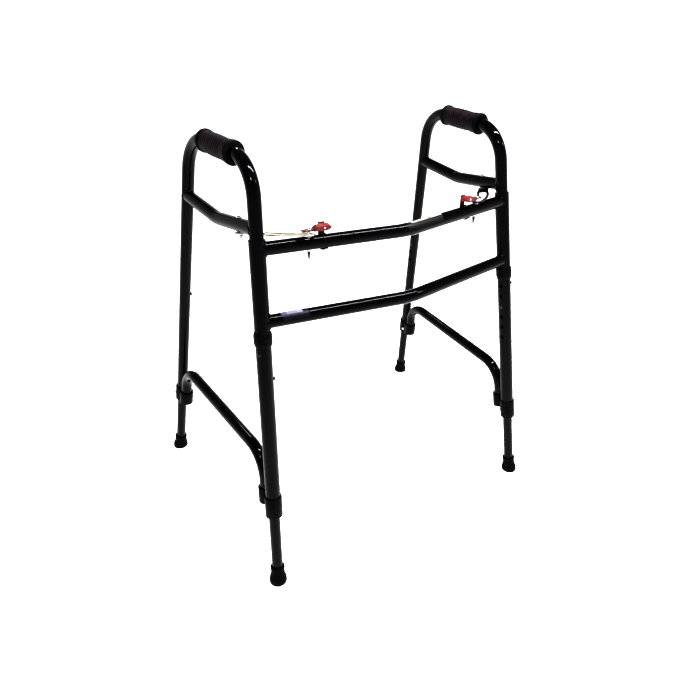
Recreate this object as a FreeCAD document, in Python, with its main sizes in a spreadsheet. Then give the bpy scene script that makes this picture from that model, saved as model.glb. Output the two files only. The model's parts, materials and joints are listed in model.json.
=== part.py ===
"""Folding walking frame with two side frames, fold hinges, release latches and adjustable legs.

The frame stands on z = 0 with the middle of its footprint at the origin.
Front is -Y, and left (+X) and right (-X) are the sides that the user holding the grips sees.
All sizes are millimetres and degrees, and come from the spreadsheet "Dims".
"""
import FreeCAD, Part
import math
import os
import Sketcher
from FreeCAD import Placement, Rotation, Vector

doc = FreeCAD.newDocument("walking_frame")

DIMENSIONS = {
    # stance of the side frames
    "foot_half_width": 338.1, "foot_front": 268.7, "side_base": 538.6,
    "toe_out": 3.8, "lean_in": 4.8, "front_splay": 9.0, "rear_splay": 10.0,
    # tube sections: outer and inner diameters
    "tube_od": 25.4, "tube_id": 23.2, "sleeve_od": 30.2, "sleeve_id": 25.5,
    "leg_od": 23.0, "leg_id": 20.6, "brace_od": 25.4, "brace_id": 22.4,
    "weld_gap": 0.05, "slide_gap": 0.3,
    # top of the side frame and the grip
    "grip_axis_up": 845.0, "front_bend": 72.0, "rear_bend": 84.0,
    "grip_middle_of_rail": 257.3, "grip_span": 123.0, "grip_bore": 25.5,
    "grip_waist": 38.5, "grip_palm": 41.0, "grip_flange": 44.5, "grip_rib": 9.0,
    # upper side brace: corner points in the side frame's plane
    "brace_front_up": 734.5, "brace_dip_along": 268.0, "brace_dip_up": 712.5,
    "brace_rear_up": 720.5, "brace_bend": 130.0,
    # lower side brace, an upside-down U beside both legs
    "low_brace_up": 282.0, "low_brace_bend": 62.0, "front_pair_gap": 28.4, "rear_pair_gap": 27.3,
    # distances along the front and rear leg axes from the floor
    "front_collar_low": 166.7, "rear_collar_low": 176.3, "tube_seat": 8.0,
    "front_button": 467.0, "rear_button": 493.0, "hinge_collar_low": 532.5,
    "hinge_collar_long": 30.0, "sleeve_top": 727.0,
    # crossbars
    "upper_bar_up": 698.2, "lower_bar_up": 568.3, "bar_bow": 47.5, "bar_bend": 150.0,
    # leg extensions, snap buttons and rubber tips
    "leg_start": 8.0, "leg_over_button": 92.0, "travel_up": 50.8, "travel_down": 76.2,
    "button_dia": 7.6, "button_hole": 8.2, "button_proud": 3.2, "button_turn": 20.0,
    "hole_pitch": 25.4, "tip_base": 37.0, "tip_ring": 30.4, "tip_neck": 28.6, "tip_high": 40.0,
    # plastic collars
    "front_socket_od": 35.0, "rear_socket_od": 32.6, "brace_socket_od": 32.6,
    "front_socket_long": 45.0, "rear_socket_long": 40.0,
    "front_step": 19.5, "rear_step": 8.5, "brace_socket_long": 34.0, "hinge_collar_od": 35.0,
    # locking strut: bolt place on the brace, plate and slot
    "bolt_along": 176.0, "bolt_dia": 6.0, "bolt_head": 11.0, "nut_flats": 10.0, "nut_high": 5.0,
    "strut_thick": 2.5, "strut_gap": 0.5, "strut_band": 25.2, "strut_slot": 14.2,
    "slot_radius": 151.6, "slot_mid": 84.6, "slot_half": 38.6, "slot_rise": 8.45,
    "strut_boss": 11.0,
    # latch: its place along the upper crossbar, and its pieces
    "latch_half": 195.0, "pin_dia": 6.0, "pin_bore": 6.1, "bush_od": 9.0, "bush_flange": 13.0, "bush_rim": 0.8,
    "pin_below": 31.0, "pin_above": 27.4, "fork_low": 21.8, "fork_thick": 3.0,
    "pivot_along": 28.0, "pivot_up": 27.0, "pivot_dia": 4.0, "lever_wide": 16.0,
    "post_back": 11.1, "post_thick": 2.5,
}

sheet = doc.addObject("Spreadsheet::Sheet", "Dims")
for row, (alias, size) in enumerate(DIMENSIONS.items(), start=1):
    sheet.set(f"A{row}", alias)
    sheet.set(f"B{row}", str(size))
    sheet.setAlias(f"B{row}", alias)
doc.recompute()

SIDES = {"left": 1, "right": -1}
nodes = []


# ---------------------------------------------------------------- helpers

def size(expression):
    """Value of an expression that uses the sheet's aliases."""
    return float(sheet.evalExpression(bound(expression)))


def bound(expression):
    """The same expression with each alias written as Dims.alias."""
    words = []
    word = ""
    for letter in str(expression) + " ":
        if letter.isalnum() or letter == "_":
            word += letter
            continue
        words.append(f"Dims.{word}" if word in DIMENSIONS else word)
        words.append(letter)
        word = ""
    return "".join(words).strip()


def keep(label, thing, place=None):
    """Name a finished sub-part, place it and list it for export."""
    thing.Label = label
    if place is not None:
        thing.Placement = place
    nodes.append(thing)
    return thing


def new_body(label, place):
    body = doc.addObject("PartDesign::Body", label)
    return keep(label, body, place)


def plane(body, role):
    return next(item for item in body.Origin.OriginFeatures if item.Role == role)


def new_sketch(body, name, role="XY_Plane", offset=None):
    sketch = body.newObject("Sketcher::SketchObject", name)
    sketch.AttachmentSupport = [(plane(body, role), "")]
    sketch.MapMode = "FlatFace"
    if offset is not None:
        sketch.AttachmentOffset = offset
    return sketch


def dimension(sketch, kind, where, expression):
    """Add a dimensional constraint and bind it to the sheet."""
    index = sketch.addConstraint(Sketcher.Constraint(kind, *where, size(expression)))
    sketch.setExpression(f"Constraints[{index}]", bound(expression))


def pin_point(sketch, geometry, end, x, y):
    """Fix one end of a sketch element at expressions x and y from the sketch's origin."""
    dimension(sketch, "DistanceX", (-1, 1, geometry, end), x)
    dimension(sketch, "DistanceY", (-1, 1, geometry, end), y)


def add_circle(sketch, diameter, x="0", y="0"):
    centre = Vector(size(x), size(y), 0)
    circle = sketch.addGeometry(Part.Circle(centre, Vector(0, 0, 1), size(diameter) / 2))
    dimension(sketch, "Diameter", (circle,), diameter)
    if x == "0" and y == "0":
        sketch.addConstraint(Sketcher.Constraint("Coincident", circle, 3, -1, 1))
    else:
        pin_point(sketch, circle, 3, x, y)
    return circle


def add_outline(sketch, points):
    """Closed outline through points given as pairs of expressions."""
    spots = [Vector(size(x), size(y), 0) for x, y in points]
    lines = []
    for index, spot in enumerate(spots):
        following = spots[(index + 1) % len(spots)]
        lines.append(sketch.addGeometry(Part.LineSegment(spot, following)))
    for index, line in enumerate(lines):
        following = lines[(index + 1) % len(lines)]
        sketch.addConstraint(Sketcher.Constraint("Coincident", line, 2, following, 1))
    for line, (x, y) in zip(lines, points):
        pin_point(sketch, line, 1, x, y)


def add_bent_line(sketch, corners, radii):
    """Path of straight runs with a tangent arc at each inner corner; one radius serves them all."""
    spots = [Vector(size(x), size(y), 0) for x, y in corners]
    if isinstance(radii, str):
        radii = [radii] * (len(corners) - 2)
    starts = [spots[0]]
    arcs = []
    for before, corner, after, radius in zip(spots, spots[1:], spots[2:], radii):
        bend = size(radius)
        into = (corner - before).normalize()
        out = (after - corner).normalize()
        turn = into.getAngle(out)
        reach = bend * math.tan(turn / 2)
        left = into.cross(out).z > 0
        inward = Vector(-into.y, into.x, 0) * (1 if left else -1)
        entry = corner - into * reach
        leave = corner + out * reach
        middle = entry + inward * bend
        first, last = (entry, leave) if left else (leave, entry)
        angles = [math.atan2(end.y - middle.y, end.x - middle.x) for end in (first, last)]
        circle = Part.Circle(middle, Vector(0, 0, 1), bend)
        arcs.append((Part.ArcOfCircle(circle, *angles), left))
        starts += [entry, leave]
    starts.append(spots[-1])
    lines = [sketch.addGeometry(Part.LineSegment(starts[i], starts[i + 1]))
             for i in range(0, len(starts), 2)]
    for number, (arc, left) in enumerate(arcs):
        curve = sketch.addGeometry(arc)
        enter, leave = (1, 2) if left else (2, 1)
        sketch.addConstraint(Sketcher.Constraint("Tangent", lines[number], 2, curve, enter))
        sketch.addConstraint(Sketcher.Constraint("Tangent", lines[number + 1], 1, curve, leave))
        dimension(sketch, "Radius", (curve,), radii[number])
        corner = sketch.addGeometry(Part.Point(spots[number + 1]))
        sketch.toggleConstruction(corner)
        pin_point(sketch, corner, 1, *corners[number + 1])
        for line in lines[number:number + 2]:
            sketch.addConstraint(Sketcher.Constraint("PointOnObject", corner, 1, line))
    pin_point(sketch, lines[0], 1, *corners[0])
    pin_point(sketch, lines[-1], 2, *corners[-1])
    return len(lines) + len(arcs)


def pad(body, sketch, length, name="Pad", both_ways=False):
    feature = body.newObject("PartDesign::Pad", name)
    feature.Profile = sketch
    feature.setExpression("Length", bound(length))
    feature.Midplane = both_ways
    return feature


def pocket(body, sketch, length, name="Pocket", reverse=False, both_ways=False):
    feature = body.newObject("PartDesign::Pocket", name)
    feature.Profile = sketch
    feature.setExpression("Length", bound(length))
    feature.Reversed = reverse
    feature.Midplane = both_ways
    return feature


def revolve(body, points, name="Turned"):
    """Solid of revolution about the body's Z axis from (radius, height) points."""
    sketch = new_sketch(body, name + "Profile", "XZ_Plane")
    add_outline(sketch, points)
    feature = body.newObject("PartDesign::Revolution", name)
    feature.Profile = sketch
    feature.ReferenceAxis = (sketch, ["V_Axis"])
    feature.Angle = 360
    return feature


def pierce(body, name, place, diameter, length):
    """Cut a round hole along the Z axis of a placement given in the part's frame."""
    cutter = body.newObject("PartDesign::SubtractiveCylinder", name)
    cutter.AttachmentSupport = [(plane(body, "XY_Plane"), "")]
    cutter.MapMode = "FlatFace"
    cutter.AttachmentOffset = body.Placement.inverse() * place
    cutter.setExpression("Radius", bound(f"({diameter}) / 2"))
    cutter.setExpression("Height", bound(length))
    return cutter


def bent_tube(body, corners, radii, outer, inner, role="XZ_Plane", height="0"):
    """Round tube swept along a bent line that lies in one of the body's planes."""
    upright = role == "XZ_Plane"
    offset = Placement(Vector(0, 0, size(height)), Rotation())
    spine = new_sketch(body, "Route", role, offset)
    edges = add_bent_line(spine, corners, radii)
    flat = [Vector(size(x), size(y), 0) for x, y in corners[:2]]
    across = flat[1] - flat[0]
    if upright:
        start = Vector(flat[0].x, 0, flat[0].y)
        along = Vector(across.x, 0, across.y)
    else:
        start = Vector(flat[0].x, flat[0].y, size(height))
        along = across
    section = new_sketch(body, "Section", "XY_Plane",
                         Placement(start, Rotation(Vector(0, 0, 1), along)))
    add_circle(section, outer)
    if inner:
        add_circle(section, inner)
    pipe = body.newObject("PartDesign::AdditivePipe", "Sweep")
    pipe.Profile = section
    pipe.Spine = (spine, [f"Edge{number + 1}" for number in range(edges)])
    return pipe


# ---------------------------------------------------------------- frames of reference

def side_frame(side):
    """X runs rearwards along the side frame's feet, Z up its leaning plane, from the front foot."""
    toe = math.radians(size("toe_out"))
    lean = math.radians(size("lean_in"))
    rearward = Vector(side * math.sin(toe), math.cos(toe), 0)
    upward = Vector(-side * math.sin(lean) * math.cos(toe), math.sin(lean) * math.sin(toe),
                    math.cos(lean))
    foot = Vector(side * size("foot_half_width"), -size("foot_front"), 0)
    return Placement(foot, Rotation(rearward, Vector(), upward, "XZY"))


def leg_frame(side, leg, turn=0.0):
    """Z runs up the leg's axis from the floor, and Y is turned from the side's inward normal."""
    if leg == "front":
        foot, tilt = 0.0, size("front_splay")
    else:
        foot, tilt = size("side_base"), -size("rear_splay")
    place = Placement(Vector(foot, 0, 0), Rotation(Vector(0, 1, 0), tilt))
    spin = turn if side > 0 else 180 - turn
    return side_frame(side) * place * Placement(Vector(), Rotation(Vector(0, 0, 1), spin))


def radial(side, leg, height, turn, start):
    """Z points out from the leg's axis, turned from inward towards the front; X runs up the leg."""
    turned = Rotation(Vector(0, 0, 1), Vector(), Vector(0, 1, 0), "ZXY")
    return leg_frame(side, leg, turn) * Placement(Vector(0, start, height), turned)


def hinge_at(side, height):
    """Point of the fold axis, which is the front leg's axis, at a height above the floor."""
    axis = leg_frame(side, "front")
    along = axis.Rotation.multVec(Vector(0, 0, 1))
    return axis.Base + along * (height / along.z)


def bar_frame(side):
    """On the upper crossbar's axis at the latch: X runs along the bar to the middle, Z is up."""
    end = hinge_at(side, size("upper_bar_up"))
    middle = Vector(0, end.y - size("bar_bow"), end.z)
    share = size("latch_half") / abs(end.x)
    inward = (middle - end).normalize()
    return Placement(middle + (end - middle) * share, Rotation(inward, Vector(), Vector(0, 0, 1), "XZY"))


def bolt_frame(side):
    """Z runs along the strut bolt from the upper brace's axis, X towards the latch pin."""
    start = size("brace_front_up * tan(front_splay)")
    slope = size("brace_dip_up - brace_front_up") / (size("brace_dip_along") - start)
    along = size("bolt_along")
    up = size("brace_front_up") + slope * (along - start)
    base = side_frame(side).multVec(Vector(along, 0, up))
    axis = leg_frame(side, "front").Rotation.multVec(Vector(0, 0, 1))
    reach = bar_frame(side).Base - base
    reach.z -= (reach.dot(axis) + size("brace_od / 2 + strut_gap + strut_thick / 2")) / axis.z
    return Placement(base, Rotation(reach - axis * reach.dot(axis), Vector(), axis, "ZXY"))


REAR_LINE = "side_base - ({up}) * tan(rear_splay)"
FRONT_LINE = "({up}) * tan(front_splay)"


def on_front(up, inset="0"):
    """Point beside the front leg's axis at a height in the side plane, as expressions."""
    return (f"{FRONT_LINE.format(up=up)} + ({inset}) / cos(front_splay)", up)


def on_rear(up, inset="0"):
    return (f"{REAR_LINE.format(up=up)} - ({inset}) / cos(rear_splay)", up)


# ---------------------------------------------------------------- cross frame

def hinge_x(height):
    """Half the distance between the fold axes at a height, as an expression."""
    return (f"foot_half_width + ({height}) * (tan(front_splay) * sin(toe_out) / cos(lean_in)"
            " - tan(lean_in) * cos(toe_out))")


def hinge_y(height):
    return (f"({height}) * (tan(front_splay) * cos(toe_out) / cos(lean_in)"
            " + tan(lean_in) * sin(toe_out)) - foot_front")


def crossbar(label, height):
    """Tube bowed forward in the middle, with both ends shaped to the hinge sleeves."""
    body = new_body(label, Placement())
    ends = hinge_x(height)
    back = hinge_y(height)
    corners = [(f"-({ends})", back), ("0", f"{back} - bar_bow"), (ends, back)]
    bent_tube(body, corners, "bar_bend", "tube_od", "tube_id", "XY_Plane", height)
    for name, side in SIDES.items():
        foot = leg_frame(side, "front")
        pierce(body, f"Notch_{name}", foot, "sleeve_od + 2 * weld_gap", "grip_axis_up")
    return body


def upper_crossbar():
    body = crossbar("upper_crossbar", "upper_bar_up")
    for name, side in SIDES.items():
        bar = bar_frame(side)
        pierce(body, f"PinHole_{name}", bar * Placement(Vector(0, 0, -20), Rotation()),
               "bush_od + 0.1", "40")
        pierce(body, f"ScrewHole_{name}",
               bar * Placement(Vector(size("pivot_along"), 0, -20), Rotation()), "4.2", "12")


def crossbar_label(label, height, start, end):
    """Blank adhesive label round the top half of a crossbar, between two places along X."""
    body = new_body(label, Placement())
    ends = hinge_x(height)
    back = hinge_y(height)
    corners = [(f"-({ends})", back), ("0", f"{back} - bar_bow"), (ends, back)]
    bent_tube(body, corners, "bar_bend", "tube_od + 0.7", "tube_od + 0.1", "XY_Plane", height)
    reach = 2 * size("foot_half_width")
    low = size(height) - reach
    trims = {"Underside": (-reach, low + 3), "Before": (start - 2 * reach, low), "Beyond": (end, low)}
    for name, (x, z) in trims.items():
        cutter = body.newObject("PartDesign::SubtractiveBox", name)
        cutter.AttachmentSupport = [(plane(body, "XY_Plane"), "")]
        cutter.MapMode = "FlatFace"
        cutter.Length = 2 * reach
        cutter.Width = 2 * reach
        cutter.Height = reach if name == "Underside" else 2 * reach
        cutter.AttachmentOffset = Placement(Vector(x, -reach, z), Rotation())


def labels():
    """The upper label lies over the bend, the lower one near the right sleeve."""
    crossbar_label("upper_crossbar_label", "upper_bar_up", -6, 88)
    crossbar_label("lower_crossbar_label", "lower_bar_up", -262, -212)


def hinge_sleeve(name, side):
    """Plain sleeve that the side frame's front tube turns in."""
    body = new_body(f"{name}_hinge_sleeve", leg_frame(side, "front"))
    base = "hinge_collar_low + hinge_collar_long + slide_gap"
    start = Placement(Vector(0, 0, size(base)), Rotation())
    sketch = new_sketch(body, "Ring", "XY_Plane", start)
    sketch.setExpression("AttachmentOffset.Base.z", bound(base))
    add_circle(sketch, "sleeve_od")
    add_circle(sketch, "sleeve_id")
    pad(body, sketch, f"sleeve_top - ({base})")


# ---------------------------------------------------------------- side frame tubes

def side_tube(name, side):
    """One tube bent to an upside-down U: front leg, handle rail and rear leg."""
    body = new_body(f"{name}_side_tube", side_frame(side))
    corners = [
        on_front("(front_collar_low + tube_seat) * cos(front_splay)"),
        on_front("grip_axis_up"),
        on_rear("grip_axis_up"),
        on_rear("(rear_collar_low + tube_seat) * cos(rear_splay)"),
    ]
    bent_tube(body, corners, ("front_bend", "rear_bend"), "tube_od", "tube_id")
    turn = size("button_turn")
    for leg in ("front", "rear"):
        for step in range(-2, 4):
            height = size(f"{leg}_button - {step} * hole_pitch")
            pierce(body, f"LockHole_{leg}_{step + 2}", radial(side, leg, height, turn, 5),
                   "button_hole", "15")
    for number, (leg, height, angle) in enumerate(SCREW_SPOTS):
        pierce(body, f"ScrewHole_{number}", radial(side, leg, size(height), angle, 9), "4.1", "8")


def front_leg_sleeve(name, side):
    """Outer tube over the front leg, from its collar up to the hinge."""
    body = new_body(f"{name}_front_leg_sleeve", leg_frame(side, "front"))
    start = "front_collar_low + tube_seat"
    sketch = new_sketch(body, "Ring", "XY_Plane", Placement(Vector(0, 0, size(start)), Rotation()))
    sketch.setExpression("AttachmentOffset.Base.z", bound(start))
    add_circle(sketch, "sleeve_od")
    add_circle(sketch, "sleeve_id")
    pad(body, sketch, f"hinge_collar_low - ({start})")
    for step in range(-2, 4):
        height = size(f"front_button - {step} * hole_pitch")
        hole = radial(side, "front", height, size("button_turn"), 5)
        pierce(body, f"LockHole_{step + 2}", hole, "button_hole", "15")
    for number, (leg, height, angle) in enumerate(SCREW_SPOTS):
        if leg == "front":
            spot = radial(side, leg, size(height), angle, 9)
            pierce(body, f"ScrewHole_{number}", spot, "4.1", "8")


def upper_side_brace(name, side):
    """Shallow V between the legs, above the crossbar, with the strut bolt's hole."""
    body = new_body(f"{name}_upper_side_brace", side_frame(side))
    corners = [on_front("brace_front_up"), ("brace_dip_along", "brace_dip_up"),
               on_rear("brace_rear_up")]
    bent_tube(body, corners, "brace_bend", "brace_od", "brace_id")
    for leg in ("front", "rear"):
        pierce(body, f"Notch_{leg}", leg_frame(side, leg), "tube_od + 2 * weld_gap", "grip_axis_up")
    bolt = bolt_frame(side) * Placement(Vector(0, 0, -15), Rotation())
    pierce(body, "BoltHole", bolt, "bolt_dia + 0.1", "30")


def lower_side_brace(name, side):
    """Upside-down U low down, whose ends run beside the legs into the collars."""
    body = new_body(f"{name}_lower_side_brace", side_frame(side))
    front_low = "(front_collar_low + front_step + tube_seat) * cos(front_splay)"
    rear_low = "(rear_collar_low + rear_step + tube_seat) * cos(rear_splay)"
    corners = [on_front(front_low, "front_pair_gap"), on_front("low_brace_up", "front_pair_gap"),
               on_rear("low_brace_up", "rear_pair_gap"), on_rear(rear_low, "rear_pair_gap")]
    bent_tube(body, corners, "low_brace_bend", "tube_od", "tube_id")


def hand_grip(name, side):
    """Moulded grip with a palm swell, ribbed middle and raised ends, over the top rail."""
    body = new_body(f"{name}_hand_grip", Placement())
    first = side_frame(side).multVec(Vector(size("grip_middle_of_rail"), 0, size("grip_axis_up")))
    rearward = side_frame(side).Rotation.multVec(Vector(1, 0, 0))
    body.Placement = Placement(first, Rotation(Vector(0, 0, 1), rearward))
    half = "grip_span / 2"
    outline = [
        ("grip_bore / 2", f"-({half})"), ("grip_flange / 2 - 3", f"-({half})"),
        ("grip_flange / 2", f"-({half}) + 4"), ("grip_flange / 2", f"-({half}) + grip_rib"),
        ("grip_waist / 2", f"-({half}) + grip_rib + 7"), ("grip_palm / 2", "0"),
        ("grip_waist / 2", f"({half}) - grip_rib - 7"), ("grip_flange / 2", f"({half}) - grip_rib"),
        ("grip_flange / 2", f"({half}) - 4"), ("grip_flange / 2 - 3", half),
        ("grip_bore / 2", half),
    ]
    revolve(body, outline)


# ---------------------------------------------------------------- collars and screws

# leg, height along the leg, and angle from inward towards the front, of each screw
SCREW_SPOTS = [
    ("rear", "rear_collar_low + 14", 35.0),
    ("rear", "rear_collar_low + 14", 215.0),
    ("front", "front_collar_low + 13", -60.0),
    ("front", "hinge_collar_low - 12", 150.0),
]


def collar(name, side, leg):
    """Moulded collar that caps a leg tube and holds the end of the lower brace beside it."""
    body = new_body(f"{name}_{leg}_leg_collar", leg_frame(side, leg) if side > 0
                    else leg_frame(side, leg) * Placement(Vector(), Rotation(Vector(0, 0, 1), 180)))
    across = "front_pair_gap" if leg == "front" else "-rear_pair_gap"
    step = f"{leg}_step"
    bore = "sleeve_od + 0.1" if leg == "front" else "tube_od + 0.1"
    low = f"{leg}_collar_low"
    features = [
        ("LegSocket", pad, low, f"{leg}_socket_od", "0", f"{leg}_socket_long"),
        ("BraceSocket", pad, f"{low} + {step}", "brace_socket_od", across, "brace_socket_long"),
        ("LegBore", pocket, f"{low} + tube_seat", bore, "0", "100"),
        ("BraceBore", pocket, f"{low} + {step} + tube_seat", "tube_od + 0.1", across, "100"),
        ("Throat", pocket, low, "leg_od + 0.4", "0", "tube_seat"),
    ]
    for title, action, base, diameter, middle, length in features:
        offset = Placement(Vector(0, 0, size(base)), Rotation())
        sketch = new_sketch(body, f"{title}Sketch", "XY_Plane", offset)
        sketch.setExpression("AttachmentOffset.Base.z", bound(base))
        add_circle(sketch, diameter, middle, "0")
        if action is pocket:
            pocket(body, sketch, length, title, reverse=True)
        else:
            pad(body, sketch, length, title)
    for number, (screw_leg, height, angle) in enumerate(SCREW_SPOTS[:3]):
        if screw_leg == leg:
            pierce(body, f"ScrewHole_{number}", radial(side, leg, size(height), angle, 9), "4.1", "20")
    return body


def hinge_collar(name, side):
    """Plastic bearing ring between the hinge sleeve and the front leg sleeve."""
    body = new_body(f"{name}_hinge_collar", leg_frame(side, "front"))
    low, high = "hinge_collar_low", "hinge_collar_low + hinge_collar_long"
    revolve(body, [
        ("tube_od / 2 + 0.05", low), ("hinge_collar_od / 2 - 2.2", low),
        ("hinge_collar_od / 2", f"{low} + 6"), ("hinge_collar_od / 2", f"{high} - 6"),
        ("hinge_collar_od / 2 - 2.2", high), ("tube_od / 2 + 0.05", high),
    ])


def screw_head(label, place, inner, outer):
    """Pan head screw whose shank runs from one radius out to its head."""
    shank = doc.addObject("Part::Cylinder", f"{label}_shank")
    shank.Radius = 2.0
    shank.Height = outer - inner
    shank.Placement = place * Placement(Vector(0, 0, inner), Rotation())
    head = doc.addObject("Part::Cone", f"{label}_head")
    head.Radius1 = 3.8
    head.Radius2 = 2.6
    head.Height = 2.4
    head.Placement = place * Placement(Vector(0, 0, outer), Rotation())
    screw = doc.addObject("Part::Fuse", f"{label}_screw")
    screw.Base = shank
    screw.Tool = head
    return screw


def leg_screws(name, side):
    """Screws of the two collars and of the front leg sleeve, one group for each side."""
    outsides = ("rear_socket_od / 2", "rear_socket_od / 2", "front_socket_od / 2", "sleeve_od / 2")
    screws = []
    for number, ((leg, height, angle), outside) in enumerate(zip(SCREW_SPOTS, outsides)):
        place = radial(side, leg, size(height), angle, 0)
        screws.append(screw_head(f"{name}_{number}", place, size("tube_id / 2") + 0.25, size(outside)))
    group = doc.addObject("Part::Compound", f"{name}_leg_screws")
    group.Links = screws
    keep(f"{name}_leg_screws", group)


# ---------------------------------------------------------------- leg extensions

def leg_extension(name, side, leg):
    """Inner leg tube, slotted for its snap button over the whole height adjustment."""
    body = new_body(f"{name}_{leg}_leg_extension", leg_frame(side, leg, size("button_turn")))
    sketch = new_sketch(body, "Ring", "XY_Plane", Placement(Vector(0, 0, size("leg_start")), Rotation()))
    sketch.setExpression("AttachmentOffset.Base.z", bound("leg_start"))
    add_circle(sketch, "leg_od")
    add_circle(sketch, "leg_id")
    pad(body, sketch, f"{leg}_button + leg_over_button - leg_start")
    slot = new_sketch(body, "SlotOutline", "XZ_Plane")
    low = f"{leg}_button - travel_up - button_hole / 2"
    high = f"{leg}_button + travel_down + button_hole / 2"
    wide = "button_hole / 2"
    add_outline(slot, [(f"-{wide}", low), (wide, low), (wide, high), (f"-{wide}", high)])
    pocket(body, slot, "leg_od", "Slot")


def rubber_tip(name, side, leg):
    """Flared rubber foot over the end of the leg, cut level with the floor."""
    place = leg_frame(side, leg)
    body = new_body(f"{name}_{leg}_rubber_tip", place)
    base, neck, ring = "tip_base / 2", "tip_neck / 2", "tip_ring / 2"
    revolve(body, [
        ("0", "-5"), (f"{base} - 2.5", "-5"), (base, "1"), (base, "6"), (f"{base} - 1.2", "12"),
        (f"{neck} + 1.4", "20"), (neck, "26"), (neck, "tip_high - 9"), (ring, "tip_high - 7"),
        (ring, "tip_high - 2.5"),
        (f"{ring} - 1.5", "tip_high"), ("leg_od / 2 + 0.05", "tip_high"),
        ("leg_od / 2 + 0.05", "leg_start"), ("0", "leg_start"),
    ])
    floor = body.newObject("PartDesign::SubtractiveBox", "Floor")
    floor.AttachmentSupport = [(plane(body, "XY_Plane"), "")]
    floor.MapMode = "FlatFace"
    floor.setExpression("Length", bound("tip_base * 2"))
    floor.setExpression("Width", bound("tip_base * 2"))
    floor.setExpression("Height", bound("tip_base"))
    reach = size("tip_base")
    corner = Vector(place.Base.x - reach, place.Base.y - reach, -reach)
    floor.AttachmentOffset = place.inverse() * Placement(corner, Rotation())


def leg_tube_radius(leg):
    return "sleeve_od / 2" if leg == "front" else "tube_od / 2"


def snap_button(name, side, leg):
    """Domed button that stands out of the leg's lock hole."""
    place = radial(side, leg, size(f"{leg}_button"), size("button_turn"), 0)
    body = new_body(f"{name}_{leg}_snap_button", place)
    top = f"{leg_tube_radius(leg)} + button_proud"
    edge = "button_dia / 2"
    revolve(body, [("0", "8"), (edge, "8"), (edge, f"{top} - 2"), (f"{edge} - 0.6", f"{top} - 0.8"),
                   (f"{edge} - 1.8", top), ("0", top)])


def button_clip(name, side, leg):
    """Bent leaf spring inside the leg that carries the button."""
    place = radial(side, leg, size(f"{leg}_button"), size("button_turn"), 0)
    body = new_body(f"{name}_{leg}_button_clip", place)
    sketch = new_sketch(body, "Leaf", "XZ_Plane")
    add_outline(sketch, [
        ("-6", "7.9"), ("-6", "7.2"), ("28", "4.4"), ("32", "2.8"), ("28", "1.2"), ("-4", "-1.5"),
        ("-4", "-2.2"), ("28.4", "0.5"), ("33", "2.8"), ("28.4", "5.1"), ("6", "7.9"),
    ])
    pad(body, sketch, "6", both_ways=True)


# ---------------------------------------------------------------- strut and latch

def strut_bolt(name, side):
    """Dome-headed bolt through the upper brace, with the strut and its nut below."""
    body = new_body(f"{name}_strut_bolt", bolt_frame(side))
    head = "bolt_head / 2"
    top = "brace_od / 2 + 0.2"
    tip = "-(brace_od / 2 + strut_gap + strut_thick + strut_gap + nut_high + 2.2)"
    shank = "bolt_dia / 2"
    revolve(body, [("0", tip), (f"{shank} - 0.8", tip), (shank, f"{tip} + 0.8"), (shank, top),
                   (head, top), (head, f"{top} + 1.2"), (f"{head} - 2", f"{top} + 3.4"),
                   ("0", f"{top} + 4.2")])


def strut_nut(name, side):
    body = new_body(f"{name}_strut_nut", bolt_frame(side))
    top = "-(brace_od / 2 + strut_gap + strut_thick + strut_gap)"
    offset = Placement(Vector(0, 0, size(top)), Rotation())
    sketch = new_sketch(body, "Hexagon", "XY_Plane", offset)
    sketch.setExpression("AttachmentOffset.Base.z", bound(top))
    corner = "nut_flats / 2 / cos(30)"
    points = [(f"{corner} * cos({angle})", f"{corner} * sin({angle})") for angle in range(0, 360, 60)]
    add_outline(sketch, points)
    add_circle(sketch, "bolt_dia + 0.1")
    feature = pad(body, sketch, "nut_high")
    feature.Reversed = True


def add_arc_slot(sketch, wide):
    """Curved slot of a given width about the strut's slot centre line."""
    centre_y = "slot_rise - slot_radius"
    middle = Vector(size("slot_mid"), size(centre_y), 0)
    swing = math.asin(size("slot_half / slot_radius"))
    half = size(wide) / 2
    up = math.pi / 2
    arcs = []
    for radius in (size("slot_radius") + half, size("slot_radius") - half):
        circle = Part.Circle(middle, Vector(0, 0, 1), radius)
        arcs.append(sketch.addGeometry(Part.ArcOfCircle(circle, up - swing, up + swing)))
    ends = []
    for angle, first in ((up - swing, up - swing - math.pi), (up + swing, up + swing)):
        spot = middle + Vector(math.cos(angle), math.sin(angle), 0) * size("slot_radius")
        circle = Part.Circle(spot, Vector(0, 0, 1), half)
        ends.append(sketch.addGeometry(Part.ArcOfCircle(circle, first, first + math.pi)))
    outer, inner = arcs
    right, left = ends
    links = [(outer, 1, right, 2), (inner, 1, right, 1), (outer, 2, left, 1), (inner, 2, left, 2)]
    for link in links:
        sketch.addConstraint(Sketcher.Constraint("Tangent", *link))
    sketch.addConstraint(Sketcher.Constraint("Coincident", outer, 3, inner, 3))
    pin_point(sketch, outer, 3, "slot_mid", centre_y)
    dimension(sketch, "Radius", (outer,), f"slot_radius + ({wide}) / 2")
    dimension(sketch, "Radius", (inner,), f"slot_radius - ({wide}) / 2")
    dimension(sketch, "DistanceX", (-1, 1, right, 3), "slot_mid + slot_half")
    dimension(sketch, "DistanceX", (-1, 1, left, 3), "slot_mid - slot_half")


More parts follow.
